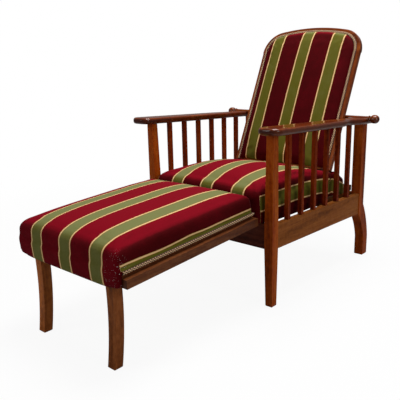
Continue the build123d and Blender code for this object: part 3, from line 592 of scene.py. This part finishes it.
def makeVelvet(spec):
    paint = Paint("stripedVelvet")
    across = paint.attribute("across")
    along = paint.attribute("along")
    spot = paint.place()
    wander = paint.noise(spot, *spec["wanderNoise"]) - 0.5
    place = across + wander * spec["wander"]
    # distance from the nearest green stripe's middle
    reach = place.math("PINGPONG", place, spec["pitch"] / 2)
    edge, line, soft = spec["greenWidth"] / 2, spec["lineWidth"], spec["soft"]
    pastGreen = paint.step(reach, edge - soft, edge + soft)
    inGreen = 1 - pastGreen
    inLine = pastGreen * (1 - paint.step(reach, edge + line - soft, edge + line + soft))
    fromLine = abs(reach - (edge + line / 2)) / (line / 2)
    pile = paint.noise(spot, *spec["pileNoise"])
    nap = paint.noise(spot, *spec["napNoise"])
    broad = paint.noise(spot, *spec["broadNoise"])
    # painted shade: cloth that faces up takes the lit colours and upright cloth the darker shaded copies,
    # mixed with the random nap
    lay = nap * spec["nap"] + broad * spec["broad"] - spec["tone"] + (pile - 0.5) * spec["pile"]
    napAndPaintedLight = paint.step(lay + paint.attribute("pile"), 0.0, 1.0)
    red = paint.mix(napAndPaintedLight, spec["crimsonPaintedShade"], spec["crimson"])
    green = paint.mix(napAndPaintedLight, spec["greenPaintedShade"], spec["green"])
    ribs = (along * (math.tau / spec["rib"])).sine() * 0.5 + 0.5
    gold = paint.mix(paint.step(fromLine, spec["edgeFrom"], spec["edgeTo"]), spec["gold"], spec["goldEdge"])
    gold = paint.mix(ribs * spec["ribShare"], gold, spec["goldEdge"])
    colour = paint.mix(inGreen, red, green)
    colour = paint.mix(inLine, colour, gold)
    # pale lint only where the attribute lint is above zero
    specks = paint.step(paint.noise(spot, *spec["lintNoise"]), *spec["lintSpecks"])
    linty = specks * paint.step(paint.attribute("lint"), *spec["lintFades"])
    colour = paint.mix(linty, colour, spec["lint"])
    height = pile * spec["pileHeight"] + nap * spec["napHeight"] - inLine * spec["lineDepth"]
    height = height + ribs * inLine * spec["ribHeight"]
    return paint.finish({
        "Base Color": colour,
        "Roughness": spec["rough"] - inLine * spec["lineSmooth"],
        "Normal": paint.bump(height, spec["bump"], spec["bumpDepth"]),
        "Specular IOR Level": spec["shine"],
        "Sheen Weight": spec["sheen"],
        "Sheen Roughness": spec["sheenRough"],
        "Sheen Tint": spec["sheenTint"],
    })


velvet = makeVelvet(velvetSet)


# the shell of a rolled-edge pad: points a side and a corner, rings for each stretch of the profile
shellSet = {
    "side": 60, "turn": 8, "crownRings": 26, "rollRings": 10, "sideRings": 8, "firstRing": 0.02,
    "innerCorner": 0.8, "facePower": 12, "floorShares": (0.66, 0.33, 0.03), "tiny": 1e-6,
}


def roundedOutline(halfX, yFront, yRear, radius):
    # rounded rectangle: a fixed number of points per side and per corner, one array for each ring
    side = np.linspace(-1, 1, shellSet["side"], endpoint=False)
    turn = np.linspace(0, math.pi / 2, shellSet["turn"], endpoint=False)
    centre = (yFront + yRear) / 2
    halfY = (yRear - yFront) / 2
    flatX, flatY = halfX - radius, halfY - radius
    runs = [
        (side * flatX, np.full(len(side), -halfY)),
        (flatX + radius * np.sin(turn), -flatY - radius * np.cos(turn)),
        (np.full(len(side), halfX), side * flatY),
        (flatX + radius * np.cos(turn), flatY + radius * np.sin(turn)),
        (-side * flatX, np.full(len(side), halfY)),
        (-flatX - radius * np.sin(turn), flatY + radius * np.cos(turn)),
        (np.full(len(side), -halfX), -side * flatY),
        (-flatX - radius * np.cos(turn), -flatY - radius * np.sin(turn)),
    ]
    x = np.concatenate([run[0] for run in runs])
    y = np.concatenate([run[1] for run in runs]) + centre
    return x, y


def padShell(name, spec, top, bottom):
    # rings from the crown's middle out to the rolled edge, down the sides, and back in underneath
    own = shellSet
    half, front, rear = spec["half"], spec["front"], spec["rear"]
    rollX, rollF, rollR, corner = spec["rollX"], spec["rollFront"], spec["rollRear"], spec["corner"]
    innerCorner = corner * own["innerCorner"]
    rings = []

    def ring(inX, inFront, inRear, radius):
        return roundedOutline(half - inX, front + inFront, rear - inRear, radius)

    middle = (front + rollF + rear - rollR) / 2
    deep = (rear - rollR - front - rollF) / 2
    for share in np.linspace(own["firstRing"], 1, own["crownRings"]):
        inX = half - (half - rollX) * share
        x, y = roundedOutline(half - inX, middle - deep * share, middle + deep * share, innerCorner * share)
        rings.append((x, y, top(x, y)))
    for angle in np.linspace(0, math.pi / 2, own["rollRings"])[1:]:
        # a quarter turn of the roll, whose radius follows the face that the point looks to
        q = 1 - math.sin(angle)
        x, y = ring(rollX * q, rollF * q, rollR * q, corner)
        edgeX, edgeY = ring(rollX, rollF, rollR, innerCorner)
        faceFront = np.clip((middle - y) / deep, 0, 1) ** own["facePower"]
        faceRear = np.clip((y - middle) / deep, 0, 1) ** own["facePower"]
        faceSide = (np.abs(x) / half) ** own["facePower"]
        roll = (rollX * faceSide + rollF * faceFront + rollR * faceRear)
        roll = roll / np.maximum(faceSide + faceFront + faceRear, own["tiny"])
        rings.append((x, y, top(edgeX, edgeY) - roll * (1 - math.cos(angle))))
    x, y, edgeZ = rings[-1]
    low = bottom(x, y)
    for share in np.linspace(0, 1, own["sideRings"])[1:]:
        puff = spec["puff"] * math.sin(math.pi * share)
        x, y = ring(-puff, -puff, 0, corner)
        rings.append((x, y, edgeZ + (low - edgeZ) * share))
    for inX, inFront, height in spec["tuck"]:
        x, y = ring(inX, inFront, inX, innerCorner)
        rings.append((x, y, low if height is None else np.full(len(x), height)))
    x, y, z = rings[-1]
    for share in own["floorShares"]:
        rings.append((x * share, (y - middle) * share + middle, z.mean() + (z - z.mean()) * share))
    cloud = np.array([np.stack(one, -1) for one in rings])
    rows, columns = cloud.shape[:2]
    faces = gridFaces(rows, columns)
    faces.append(list(range(columns)))
    faces.append(list(range(rows * columns - 1, (rows - 1) * columns - 1, -1)))
    return makeObject(name, cloud.reshape(-1, 3), faces)


# how the stripes lie on a shell, and the painted light and shade that follow the way the cloth faces
stripeSet = {
    "arcShare": 0.67, "arcPower": 3, "sideFrom": 0.35, "sideOver": 0.3, "topShare": 0.3,
    "rampFrom": 0.7, "rampOver": 0.3, "least": 1e-5, "tiny": 1e-6,
}
facingLightSet = {"from": 0.62, "over": 0.37, "power": 1.4, "upright": 0.14, "open": 0.86}


def stripeAcross(spots, facing, spec, edgeTop, start):
    # length over the cloth from the middle line: over the crown, round the roll, then down the side,
    # less the place where the pattern's middle lies, with a small stretch towards the sides
    own = stripeSet
    x, z = spots[:, 0], spots[:, 2]
    half, roll = spec["half"], spec["rollX"]
    inner = half - roll
    reach = np.abs(x)
    over = own["arcShare"] * spec["crown"] ** 2 / half * np.clip(reach / half, 0, 1) ** own["arcPower"]
    out = reach - inner
    rise = z - (edgeTop - roll)
    angle = np.arctan2(np.maximum(out, 0), np.maximum(rise, own["least"]))
    rounding = inner + over + roll * angle
    side = inner + over + roll * math.pi / 2 - rise
    length = np.where(out <= 0, reach + over, np.where(rise > 0, rounding, side))
    sideways = np.abs(facing[:, 0]) / (np.abs(facing[:, 0]) + np.abs(facing[:, 1]) + own["tiny"])
    weight = np.clip((sideways - own["sideFrom"]) / own["sideOver"], 0, 1)
    weight = np.where(rise > own["topShare"] * roll, np.where(out > 0, weight, 0), weight)
    ramp = np.clip((reach - own["rampFrom"] * half) / (own["rampOver"] * half), 0, 1)
    length = length + spec["stretch"] * ramp
    plain = np.minimum(reach, half) + over
    # the front corner keeps the colour of the band beside it
    length = np.where(start, np.minimum(length, spec["cornerKeep"]), length)
    return np.sign(x) * (plain * (1 - weight) + length * weight) - spec["middle"]


def paintFacingLight(made, facing, front):
    # painted light: one where the cloth looks up, much less where it stands upright, with its own share on
    # the front; low values pick the shaded colours
    own = facingLightSet
    up = np.clip((facing[:, 2] - own["from"]) / own["over"], 0, 1) ** own["power"]
    forward = np.maximum(-facing[:, 1], 0) * (1 - up)
    setNumber(made, "pile", own["upright"] + front * forward + own["open"] * up)


# seat
seatSet = {
    "half": 0.2585, "front": -0.0155, "rear": 0.4535, "corner": 0.018,
    "rollX": 0.026, "rollFront": 0.036, "rollRear": 0.012, "puff": 0.002,
    "sideTop": 0.427, "fall": 0.36, "fallFrom": 0.20,
    "crown": 0.033, "crownPower": 2.1, "crownY": 0.20, "crownFront": 0.215, "crownRear": 0.27,
    "frontFall": 1.15,
    "hem": 0.0008, "hang": 0.0095, "hangFrom": 0.035, "hangOver": 0.03, "hangIn": 0.004, "hangSoft": 0.003,
    "tuck": [(0.0052, 0.010, None), (0.012, 0.012, chairSet["railTop"])],
    "lean": 0.4508, "leanOver": 0.10, "leanShare": 0.92,
    "voxel": 0.0055, "heldLow": 0.006, "heldRear": 0.44, "cap": 0.005,
    # pile: share of the painted light given to cloth that faces forward
    "edgeBack": 0.02, "edgeOver": 0.45, "edgeEnd": 0.47, "cornerDeep": 0.012, "pile": 0.10,
    "middle": 0.0100, "stretch": 0.0065, "cornerKeep": 0.2700,
}


def railTop(y):
    return chairSet["railTop"] - chairSet["railFall"] * y


def seatEdge(y):
    # level along the sides, then falling as a parabola towards the back
    spec = seatSet
    return spec["sideTop"] - spec["fall"] * np.maximum(y - spec["fallFrom"], 0) ** 2


def seatTop(x, y):
    # side height plus a dome: one minus a power of the share of the half width, fading front and rear
    spec = seatSet
    share = np.clip(np.abs(x) / spec["half"], 0, 1)
    ahead = np.clip((spec["crownY"] - y) / spec["crownFront"], 0, 1)
    behind = np.clip((y - spec["crownY"]) / spec["crownRear"], 0, 1)
    dome = spec["crown"] * (1 - share ** spec["crownPower"]) * (1 - spec["frontFall"] * ahead**2)
    return seatEdge(y) + dome * (1 - behind**2)


def seatHem(x, y):
    # the front hem lies on the rail, the side hems hang a little lower inside the rails
    spec = seatSet
    back = np.clip((y - spec["hangFrom"]) / spec["hangOver"], 0, 1)
    side = np.clip((np.abs(x) - spec["half"] + spec["hangIn"]) / spec["hangSoft"], 0, 1)
    return railTop(y) + spec["hem"] - spec["hang"] * back * side


def makeSeat():
    spec = seatSet
    made = padShell("seatVelvet", spec, seatTop, seatHem)
    # the rear end leans with the back: a smooth step towards the slope, more for higher points
    spots = pointsOf(made)
    back = np.clip((spots[:, 1] - (spec["rear"] - spec["leanOver"])) / spec["leanOver"], 0, 1)
    lean = back * back * (3 - 2 * back)
    spots[:, 1] += lean * spec["lean"] * (spots[:, 2] - railTop(spots[:, 1])) * spec["leanShare"]
    setPoints(made, spots)
    remesh(made, spec["voxel"])
    spots = pointsOf(made)
    low = railTop(spots[:, 1]) + spec["heldLow"]
    puffUp(made, (spots[:, 2] < low) | (spots[:, 1] > spec["heldRear"]), spec["cap"])
    subdivide(made)
    spots, facing = pointsOf(made), normalsOf(made)
    shifted = spots[:, 1] - spec["edgeBack"] * np.clip(spots[:, 1] / spec["edgeOver"], 0, 1)
    edge = seatEdge(np.clip(shifted, 0.0, spec["edgeEnd"]))
    corner = spots[:, 1] < spec["front"] + spec["cornerDeep"]
    setNumber(made, "across", stripeAcross(spots, facing, spec, edge, corner))
    paintFacingLight(made, facing, spec["pile"])
    setNumber(made, "along", spots[:, 1] - spots[:, 2])
    spots[:, 1] -= middleY
    setPoints(made, spots)
    made.data.materials.append(velvet)
    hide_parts("seat_cushion", "seat_front_border", "seat_flank_left", "seat_flank_right")
    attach(made, "chair")
    return made


seatVelvet = makeSeat()
print("seat is upholstered:", len(seatVelvet.data.polygons))


# roll behind the back
rollSet = {
    "half": 0.2585, "top": 0.404, "endTop": 0.366, "end": 0.5905, "bulge": 0.009, "low": 0.312,
    "edge": 0.018, "edgeDrop": 0.55, "rearBulge": 0.003, "hem": 0.001,
    "lean": 0.4508, "backFoot": 0.3063, "behind": 0.0375, "beside": 0.0006, "besideX": 0.2455,
    "endShare": 0.9, "nearShare": 0.88, "endPoints": 12, "points": 46, "faceRows": 10, "topRows": 22,
    "voxel": 0.005, "heldLow": 0.006, "heldFront": 0.01, "cap": 0.004, "fallFrom": 0.49,
    "rollX": 0.018, "crown": 0.0, "middle": 0.0100, "stretch": 0.0035, "cornerKeep": 1.0,
}


def rollProfile(spec, x):
    # side-view rows for each place across the chair: up the leaning face, over a bulge, down the rear
    out = np.clip((np.abs(x) - (spec["half"] - spec["edge"])) / spec["edge"], 0, 1)
    drop = spec["edge"] * spec["edgeDrop"] * (1 - np.sqrt(np.maximum(1 - out**2, 0)))
    depth = np.where(np.abs(x) > spec["besideX"], spec["beside"], spec["behind"])
    top, endTop, low, end = spec["top"], spec["endTop"], spec["low"], spec["end"]
    startY = spec["backFoot"] + spec["lean"] * top + depth
    endLow = railTop(end) + spec["hem"]
    lowY = startY - spec["lean"] * (top - low)
    rows = []
    for share in np.linspace(0, 1, spec["faceRows"]):
        rows.append((lowY + (startY - lowY) * share, low + (top - low) * share - drop * share))
    for share in np.linspace(0, 1, spec["topRows"])[1:]:
        fall = top + (endTop - top) * share
        height = fall + spec["bulge"] * math.sin(math.pi * share) - drop
        rows.append((startY + (end - startY) * share, height))
    for share in np.linspace(0, 1, spec["faceRows"])[1:]:
        run = np.full(len(x), end) + spec["rearBulge"] * math.sin(math.pi * share)
        rows.append((run, endTop - drop + (endLow - endTop + drop) * share))
    return rows, startY.min()


def makeRearRoll():
    # the profile's rows across the chair, closed underneath and at both ends
    spec = rollSet
    ends = np.linspace(spec["endShare"], 1, spec["endPoints"])
    between = np.linspace(-spec["nearShare"], spec["nearShare"], spec["points"])
    x = np.concatenate([-ends[::-1], between, ends]) * spec["half"]
    profile, firstY = rollProfile(spec, x)
    cloud = np.array([np.stack([x, y + 0 * x, z + 0 * x], -1) for y, z in profile])
    rows, columns = cloud.shape[:2]
    faces = gridFaces(rows, columns, wrapRows=True, wrapColumns=False)
    faces.append([row * columns for row in range(rows)])
    faces.append([row * columns + columns - 1 for row in range(rows - 1, -1, -1)])
    made = makeObject("rearRollVelvet", cloud.reshape(-1, 3), faces)
    remesh(made, spec["voxel"])
    spots = pointsOf(made)
    held = spots[:, 2] < railTop(spots[:, 1]) + spec["heldLow"]
    puffUp(made, held | (spots[:, 1] < firstY + spec["heldFront"]), spec["cap"])
    subdivide(made)
    spots, facing = pointsOf(made), normalsOf(made)
    share = np.clip((spots[:, 1] - spec["fallFrom"]) / (spec["end"] - spec["fallFrom"]), 0, 1)
    edge = spec["top"] + (spec["endTop"] - spec["top"]) * share
    setNumber(made, "across", stripeAcross(spots, facing, spec, edge, np.zeros(len(spots), bool)))
    paintFacingLight(made, facing, 0.0)
    setNumber(made, "along", spots[:, 1] - spots[:, 2])
    spots[:, 1] -= middleY
    setPoints(made, spots)
    made.data.materials.append(velvet)
    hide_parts("seat_rear_stuffing")
    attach(made, "chair")
    return made


rearRoll = makeRearRoll()
print("rear roll is upholstered:", len(rearRoll.data.polygons))


# footrest, drawn level from its frame's rear edge and then set on its slope
footSet = {
    "half": 0.2505, "front": -0.6105, "rear": -0.0006, "corner": 0.018,
    "rollX": 0.026, "rollFront": 0.036, "rollRear": 0.022, "puff": 0.002,
    "sideTop": 0.1077, "crown": 0.0240, "domeX": 0.250, "domeY": -0.305, "domeReach": 0.300,
    "powerX": 3.1, "powerY": 4, "flap": -0.010, "hemLift": 0.012, "hemPower": 6,
    "memberTop": 0.0406, "memberLap": 0.001, "runnerFront": -0.5960, "runnerLap": 0.004, "runnerSoft": 0.006,
    "tuck": [(0.0, 0.0137, None), (0.0, 0.0137, 0.0406)],
    "slope": 3.456, "rearY": -0.031, "rearZ": 0.3075,
    # pile: share of the painted light given to cloth that faces forward
    "voxel": 0.006, "heldLow": 0.006, "cap": 0.004, "pile": 0.34,
    "cornerBelow": 0.048, "cornerLow": 0.024, "cornerHigh": 0.012,
    "middle": 0.0095, "stretch": -0.0085, "cornerKeep": 0.2640,
    "wave": 0.0020, "wavePitch": 0.272, "waveStart": 0.573, "waveSide": 0.22, "waveSoft": 0.03,
    "waveEnd": -0.22, "waveFade": 0.08,
    "lintX": 0.235, "lintY": -0.605, "lintZ": 0.035, "lintTall": 0.6, "lintReach": 0.075,
}


def footTop(x, y):
    # side height plus a dome that is nearly flat across the middle and steeper near all four edges
    spec = footSet
    across = np.clip(np.abs(x) / spec["domeX"], 0, 1) ** spec["powerX"]
    along = np.clip(np.abs(y - spec["domeY"]) / spec["domeReach"], 0, 1) ** spec["powerY"]
    return spec["sideTop"] + spec["crown"] * (1 - across) * (1 - along)


def footHem(x, y):
    # the front flap hangs below the frame, a little higher at its ends; the sides end on the members
    spec = footSet
    lift = spec["hemLift"] * (np.abs(x) / spec["half"]) ** spec["hemPower"]
    onRunner = np.clip((y - spec["runnerFront"] + spec["runnerLap"]) / spec["runnerSoft"], 0, 1)
    return (spec["flap"] + lift) * (1 - onRunner) + (spec["memberTop"] - spec["memberLap"]) * onRunner


def slopeDirections(spots):
    # x stays; along and up turn by the slope
    angle = math.radians(footSet["slope"])
    made = spots.copy()
    made[:, 1] = spots[:, 1] * math.cos(angle) - spots[:, 2] * math.sin(angle)
    made[:, 2] = spots[:, 1] * math.sin(angle) + spots[:, 2] * math.cos(angle)
    return made


def onFootSlope(spots):
    # turned about the rear edge of the footrest's frame, then moved into the chair's frame
    return slopeDirections(spots) + np.array([0, footSet["rearY"] - middleY, footSet["rearZ"]])


def makeFootrest():
    spec = footSet
    made = padShell("footrestVelvet", spec, footTop, footHem)
    remesh(made, spec["voxel"])
    spots = pointsOf(made)
    puffUp(made, spots[:, 2] < spec["memberTop"] + spec["heldLow"], spec["cap"])
    subdivide(made)
    spots, facing = pointsOf(made), normalsOf(made)
    x, y, z = spots.T
    edge = np.full(len(spots), spec["sideTop"])
    corner = y < spec["front"] + np.where(z < spec["cornerBelow"], spec["cornerLow"], spec["cornerHigh"])
    across = stripeAcross(spots, facing, spec, edge, corner)
    # the cloth was pulled unevenly here, so the side's gold line waves
    pulled = np.clip((np.abs(across) - spec["waveSide"]) / spec["waveSoft"], 0, 1)
    pulled = pulled * np.clip((spec["waveEnd"] - y) / spec["waveFade"], 0, 1)
    wave = np.cos((y + spec["waveStart"]) / spec["wavePitch"] * math.tau)
    setNumber(made, "across", across + np.sign(x) * pulled * spec["wave"] * wave)
    paintFacingLight(made, facing, spec["pile"])
    near = np.hypot(x - spec["lintX"], y - spec["lintY"]) + np.abs(z - spec["lintZ"]) * spec["lintTall"]
    setNumber(made, "lint", np.clip(1 - near / spec["lintReach"], 0, 1))
    setNumber(made, "along", y - z)
    setPoints(made, onFootSlope(spots))
    made.data.materials.append(velvet)
    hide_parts("footrest_pad")
    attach(made, "footrest")
    return made


footVelvet = makeFootrest()
print("footrest is upholstered:", len(footVelvet.data.polygons))


# reclining back, drawn flat and then leaned
backSet = {
    "half": 0.230, "low": 0.455, "rim": 0.0085, "shoulder": 0.021, "crown": 0.031,
    "roll": 0.055, "sideRoll": 0.034, "crest": 1.071, "crestRadius": 0.847, "cornerRadius": 0.086,
    "tilt": 24.27, "foot": 0.3063, "middle": -0.006,
    "columns": 90, "rows": 130, "bunch": 0.48, "footGap": 0.002, "edgeDepth": 0.0045, "edgePower": 2.2,
    "rearGap": 0.0004, "voxel": 0.0048, "heldDepth": 0.0055, "cap": 0.0022, "pressure": 2.5,
}


def backOutline(x):
    # a wide arc over the crest, then a tighter arc into each straight side
    spec = backSet
    xCentre = spec["half"] - spec["cornerRadius"]
    zCrest = spec["crest"] - spec["crestRadius"]
    rise = math.sqrt((spec["crestRadius"] - spec["cornerRadius"]) ** 2 - xCentre**2)
    reach = np.abs(x)
    wide = zCrest + np.sqrt(spec["crestRadius"] ** 2 - reach**2)
    tight = np.sqrt(np.maximum(spec["cornerRadius"] ** 2 - np.maximum(reach - xCentre, 0) ** 2, 0))
    meets = xCentre * spec["crestRadius"] / (spec["crestRadius"] - spec["cornerRadius"])
    return np.where(reach < meets, wide, zCrest + rise + tight)


def leanDirections(spots):
    # x stays; up the slope and out of the front face become the leaning plane
    tilt = math.radians(backSet["tilt"])
    made = spots.copy()
    made[:, 1] = spots[:, 2] * math.sin(tilt) + spots[:, 1] * math.cos(tilt)
    made[:, 2] = spots[:, 2] * math.cos(tilt) - spots[:, 1] * math.sin(tilt)
    return made


def onBackSlope(spots):
    return leanDirections(spots) + np.array([0, backSet["foot"] - middleY, 0])


def edgeRise(distance, reach):
    # quarter-round rise from the edge, level after reach
    share = np.clip(distance / reach, 0, 1)
    return np.sqrt(np.maximum(1 - (1 - share) ** backSet["edgePower"], 0))


def backFront(spec):
    # a grid of columns between the lower edge and the arch, drawn in by the braid's width, its rows
    # bunched at both ends; depth is the product of the rises from the three kinds of edge plus a low dome
    u = np.sin(np.linspace(-1, 1, spec["columns"]) * math.pi / 2)
    v = np.linspace(0, 1, spec["rows"])
    v = np.clip(v - spec["bunch"] * np.sin(v * math.tau) / math.tau, 0, 1)
    u, v = np.meshgrid(u, v, indexing="ij")
    inner = spec["half"] - spec["rim"]
    x = u * inner
    high = backOutline(x * spec["half"] / inner) - spec["rim"]
    foot = spec["low"] + spec["footGap"]
    along = foot + (high - foot) * v
    rise = edgeRise(along - foot, spec["roll"]) * edgeRise(high - along, spec["sideRoll"])
    rise = rise * edgeRise(inner - np.abs(x), spec["sideRoll"])
    crown = (1 - (2 * v - 1) ** 2) * (1 - u**2)
    depth = spec["edgeDepth"] + (spec["shoulder"] - spec["edgeDepth"]) * rise
    return np.stack([x, -(depth + (spec["crown"] - spec["shoulder"]) * crown), along], -1)


def makeBackPad():
    # the front grid, the same grid flattened as the rear, and one strip of faces round the rim
    spec = backSet
    front = backFront(spec)
    rows, columns = front.shape[:2]
    rear = front.copy()
    rear[..., 1] = -spec["rearGap"]
    faces = [face[::-1] for face in gridFaces(rows, columns, wrapColumns=False)]
    size = rows * columns
    faces += [[size + i for i in face] for face in gridFaces(rows, columns, wrapColumns=False)]
    rim = list(range(columns)) + [row * columns + columns - 1 for row in range(1, rows)]
    rim += [(rows - 1) * columns + column for column in range(columns - 2, -1, -1)]
    rim += [row * columns for row in range(rows - 2, 0, -1)]
    faces += [[a, b, size + b, size + a] for a, b in zip(rim, rim[1:] + rim[:1])]
    made = makeObject("backVelvet", np.concatenate([front.reshape(-1, 3), rear.reshape(-1, 3)]), faces)
    remesh(made, spec["voxel"])
    puffUp(made, pointsOf(made)[:, 1] > -spec["heldDepth"], spec["cap"], spec["pressure"])
    subdivide(made)
    spots = pointsOf(made)
    spots[:, 1] = np.minimum(spots[:, 1], -spec["rearGap"])
    setNumber(made, "across", spots[:, 0] - spec["middle"])
    setNumber(made, "along", spots[:, 2])
    setPoints(made, onBackSlope(spots))
    paintFacingLight(made, normalsOf(made), 0.0)
    made.data.materials.append(velvet)
    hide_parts("back_pad")
    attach(made, "back")
    return made


backVelvet = makeBackPad()
print("back is upholstered:", len(backVelvet.data.polygons))


# gimp braid
gimpSet = {
    "width": 0.0105, "thick": 0.0036, "under": 0.0024, "stitch": 0.0100, "row": 0.0011, "lanes": 15,
    "slant": 2.4, "sharp": 0.8, "overShare": 0.7, "underShare": 0.3, "gapFrom": 0.62, "gapOver": 0.36,
    "base": 0.42, "rise": 0.55, "scallop": 0.07, "side": 0.0002, "deep": 0.0030, "foot": 0.001,
    "light": (0.86, 0.58, 0.31), "dark": (0.075, 0.018, 0.008), "cord": (0.30, 0.72),
    "fuzzNoise": (1400.0, 2.0), "fuzz": 0.3, "rough": 0.74, "fuzzRough": 0.1, "sheen": 0.15,
    "bump": 0.3, "bumpDepth": 0.0004, "rounding": 4,
    "footOut": 0.0012, "footUp": 0.0022, "footFront": 0.018, "footRear": 0.004,
    "sidePoints": 60, "archPoints": 240,
}


def makeGimpPaint(spec):
    # two crossing cords: the attribute lift is high on a cord and low between them
    paint = Paint("braidedGimp")
    fuzz = paint.noise(paint.place(), *spec["fuzzNoise"])
    cord = paint.step(paint.attribute("lift") + (fuzz - 0.5) * spec["fuzz"], *spec["cord"])
    return paint.finish({
        "Base Color": paint.mix(cord, spec["dark"], spec["light"]),
        "Roughness": spec["rough"] + fuzz * spec["fuzzRough"],
        "Sheen Weight": spec["sheen"],
        "Normal": paint.bump(fuzz, spec["bump"], spec["bumpDepth"]),
    })


gimpPaint = makeGimpPaint(gimpSet)


def makeGimp(name, path, outward, sideways, body):
    # a flat band carried along a path; its thickness follows two waves that cross, as braided cords do
    spec = gimpSet
    lengths = np.concatenate([[0], np.cumsum(np.linalg.norm(np.diff(path, axis=0), axis=1))])
    even = np.linspace(0, lengths[-1], int(lengths[-1] / spec["row"]))
    centre, out, side = (
        np.stack([np.interp(even, lengths, source[:, k]) for k in range(3)], -1)[:, None, :]
        for source in (path, outward, sideways)
    )
    lanes = np.linspace(-1, 1, spec["lanes"])
    phase = even[:, None] / spec["stitch"] * math.tau
    wave = np.abs(np.sin(phase / 2 + lanes[None, :] * spec["slant"])) ** spec["sharp"]
    cross = np.abs(np.sin(phase / 2 - lanes[None, :] * spec["slant"])) ** spec["sharp"]
    lift = np.maximum(wave, cross) * spec["overShare"] + spec["underShare"] * np.minimum(wave, cross)
    lift = np.clip((lift - spec["gapFrom"]) / spec["gapOver"], 0, 1)
    bulge = np.sqrt(np.maximum(1 - lanes ** spec["rounding"], 0))[None, :]
    height = spec["thick"] * (spec["base"] * bulge + spec["rise"] * lift * bulge)
    edge = spec["width"] / 2 * (1 + spec["scallop"] * np.sin(phase))
    top = centre + side * (lanes[None, :] * edge)[..., None] + out * height[..., None]
    under = centre + side * (lanes[None, ::-1] * edge)[..., None] - out * spec["under"]
    cloud = np.concatenate([top, under], 1)
    rows, columns = cloud.shape[:2]
    faces = gridFaces(rows, columns)
    faces.append(list(range(columns))[::-1])
    faces.append(list(range((rows - 1) * columns, rows * columns)))
    made = makeObject(name, cloud.reshape(-1, 3), faces)
    setNumber(made, "lift", np.concatenate([lift * bulge, np.zeros_like(lift)], 1).ravel())
    made.data.materials.append(gimpPaint)
    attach(made, body)
    return made


def makeBackGimp():
    # up one side, over the arch and down the other, flat on the pad's margin half a braid inside its outline
    spec, own = backSet, gimpSet
    half, count = spec["half"], own["sidePoints"]
    side = np.linspace(spec["low"] + own["foot"], backOutline(np.array([half]))[0], count)
    x = np.sin(np.linspace(-1, 1, own["archPoints"]) * math.pi / 2) * half
    z = backOutline(x)
    xs = np.concatenate([np.full(count, -half), x[1:-1], np.full(count, half)])
    zs = np.concatenate([side, z[1:-1], side[::-1]])
    flat = np.stack([xs, zs], -1)
    tangent = np.gradient(flat, axis=0)
    tangent /= np.linalg.norm(tangent, axis=1, keepdims=True)
    inward = np.stack([tangent[:, 1], -tangent[:, 0]], -1)
    place = flat + inward * (own["width"] / 2 + own["side"])
    zero = np.zeros(len(place))
    path = np.stack([place[:, 0], zero - own["deep"], place[:, 1]], -1)
    outward = np.stack([zero, zero - 1, zero], -1)
    sideways = np.stack([inward[:, 0], zero, inward[:, 1]], -1)
    return makeGimp("backGimp", onBackSlope(path), leanDirections(outward), leanDirections(sideways), "back")


def makeFootGimp(name, sign):
    # straight along one side, on the member just above the runner
    spec, own = footSet, gimpSet
    count = own["sidePoints"]
    run = np.linspace(spec["front"] + own["footFront"], spec["rear"] - own["footRear"], count)
    x = np.full(count, sign * (spec["half"] + own["footOut"]))
    path = np.stack([x, run, np.full(count, spec["memberTop"] + own["footUp"])], -1)
    outward = np.tile([float(sign), 0.0, 0.0], (count, 1))
    sideways = np.tile([0.0, 0.0, float(sign)], (count, 1))
    return makeGimp(name, onFootSlope(path), slopeDirections(outward), slopeDirections(sideways), "footrest")


makeBackGimp()
makeFootGimp("footrestGimpLeft", 1)
makeFootGimp("footrestGimpRight", -1)
print("gimp is laid")
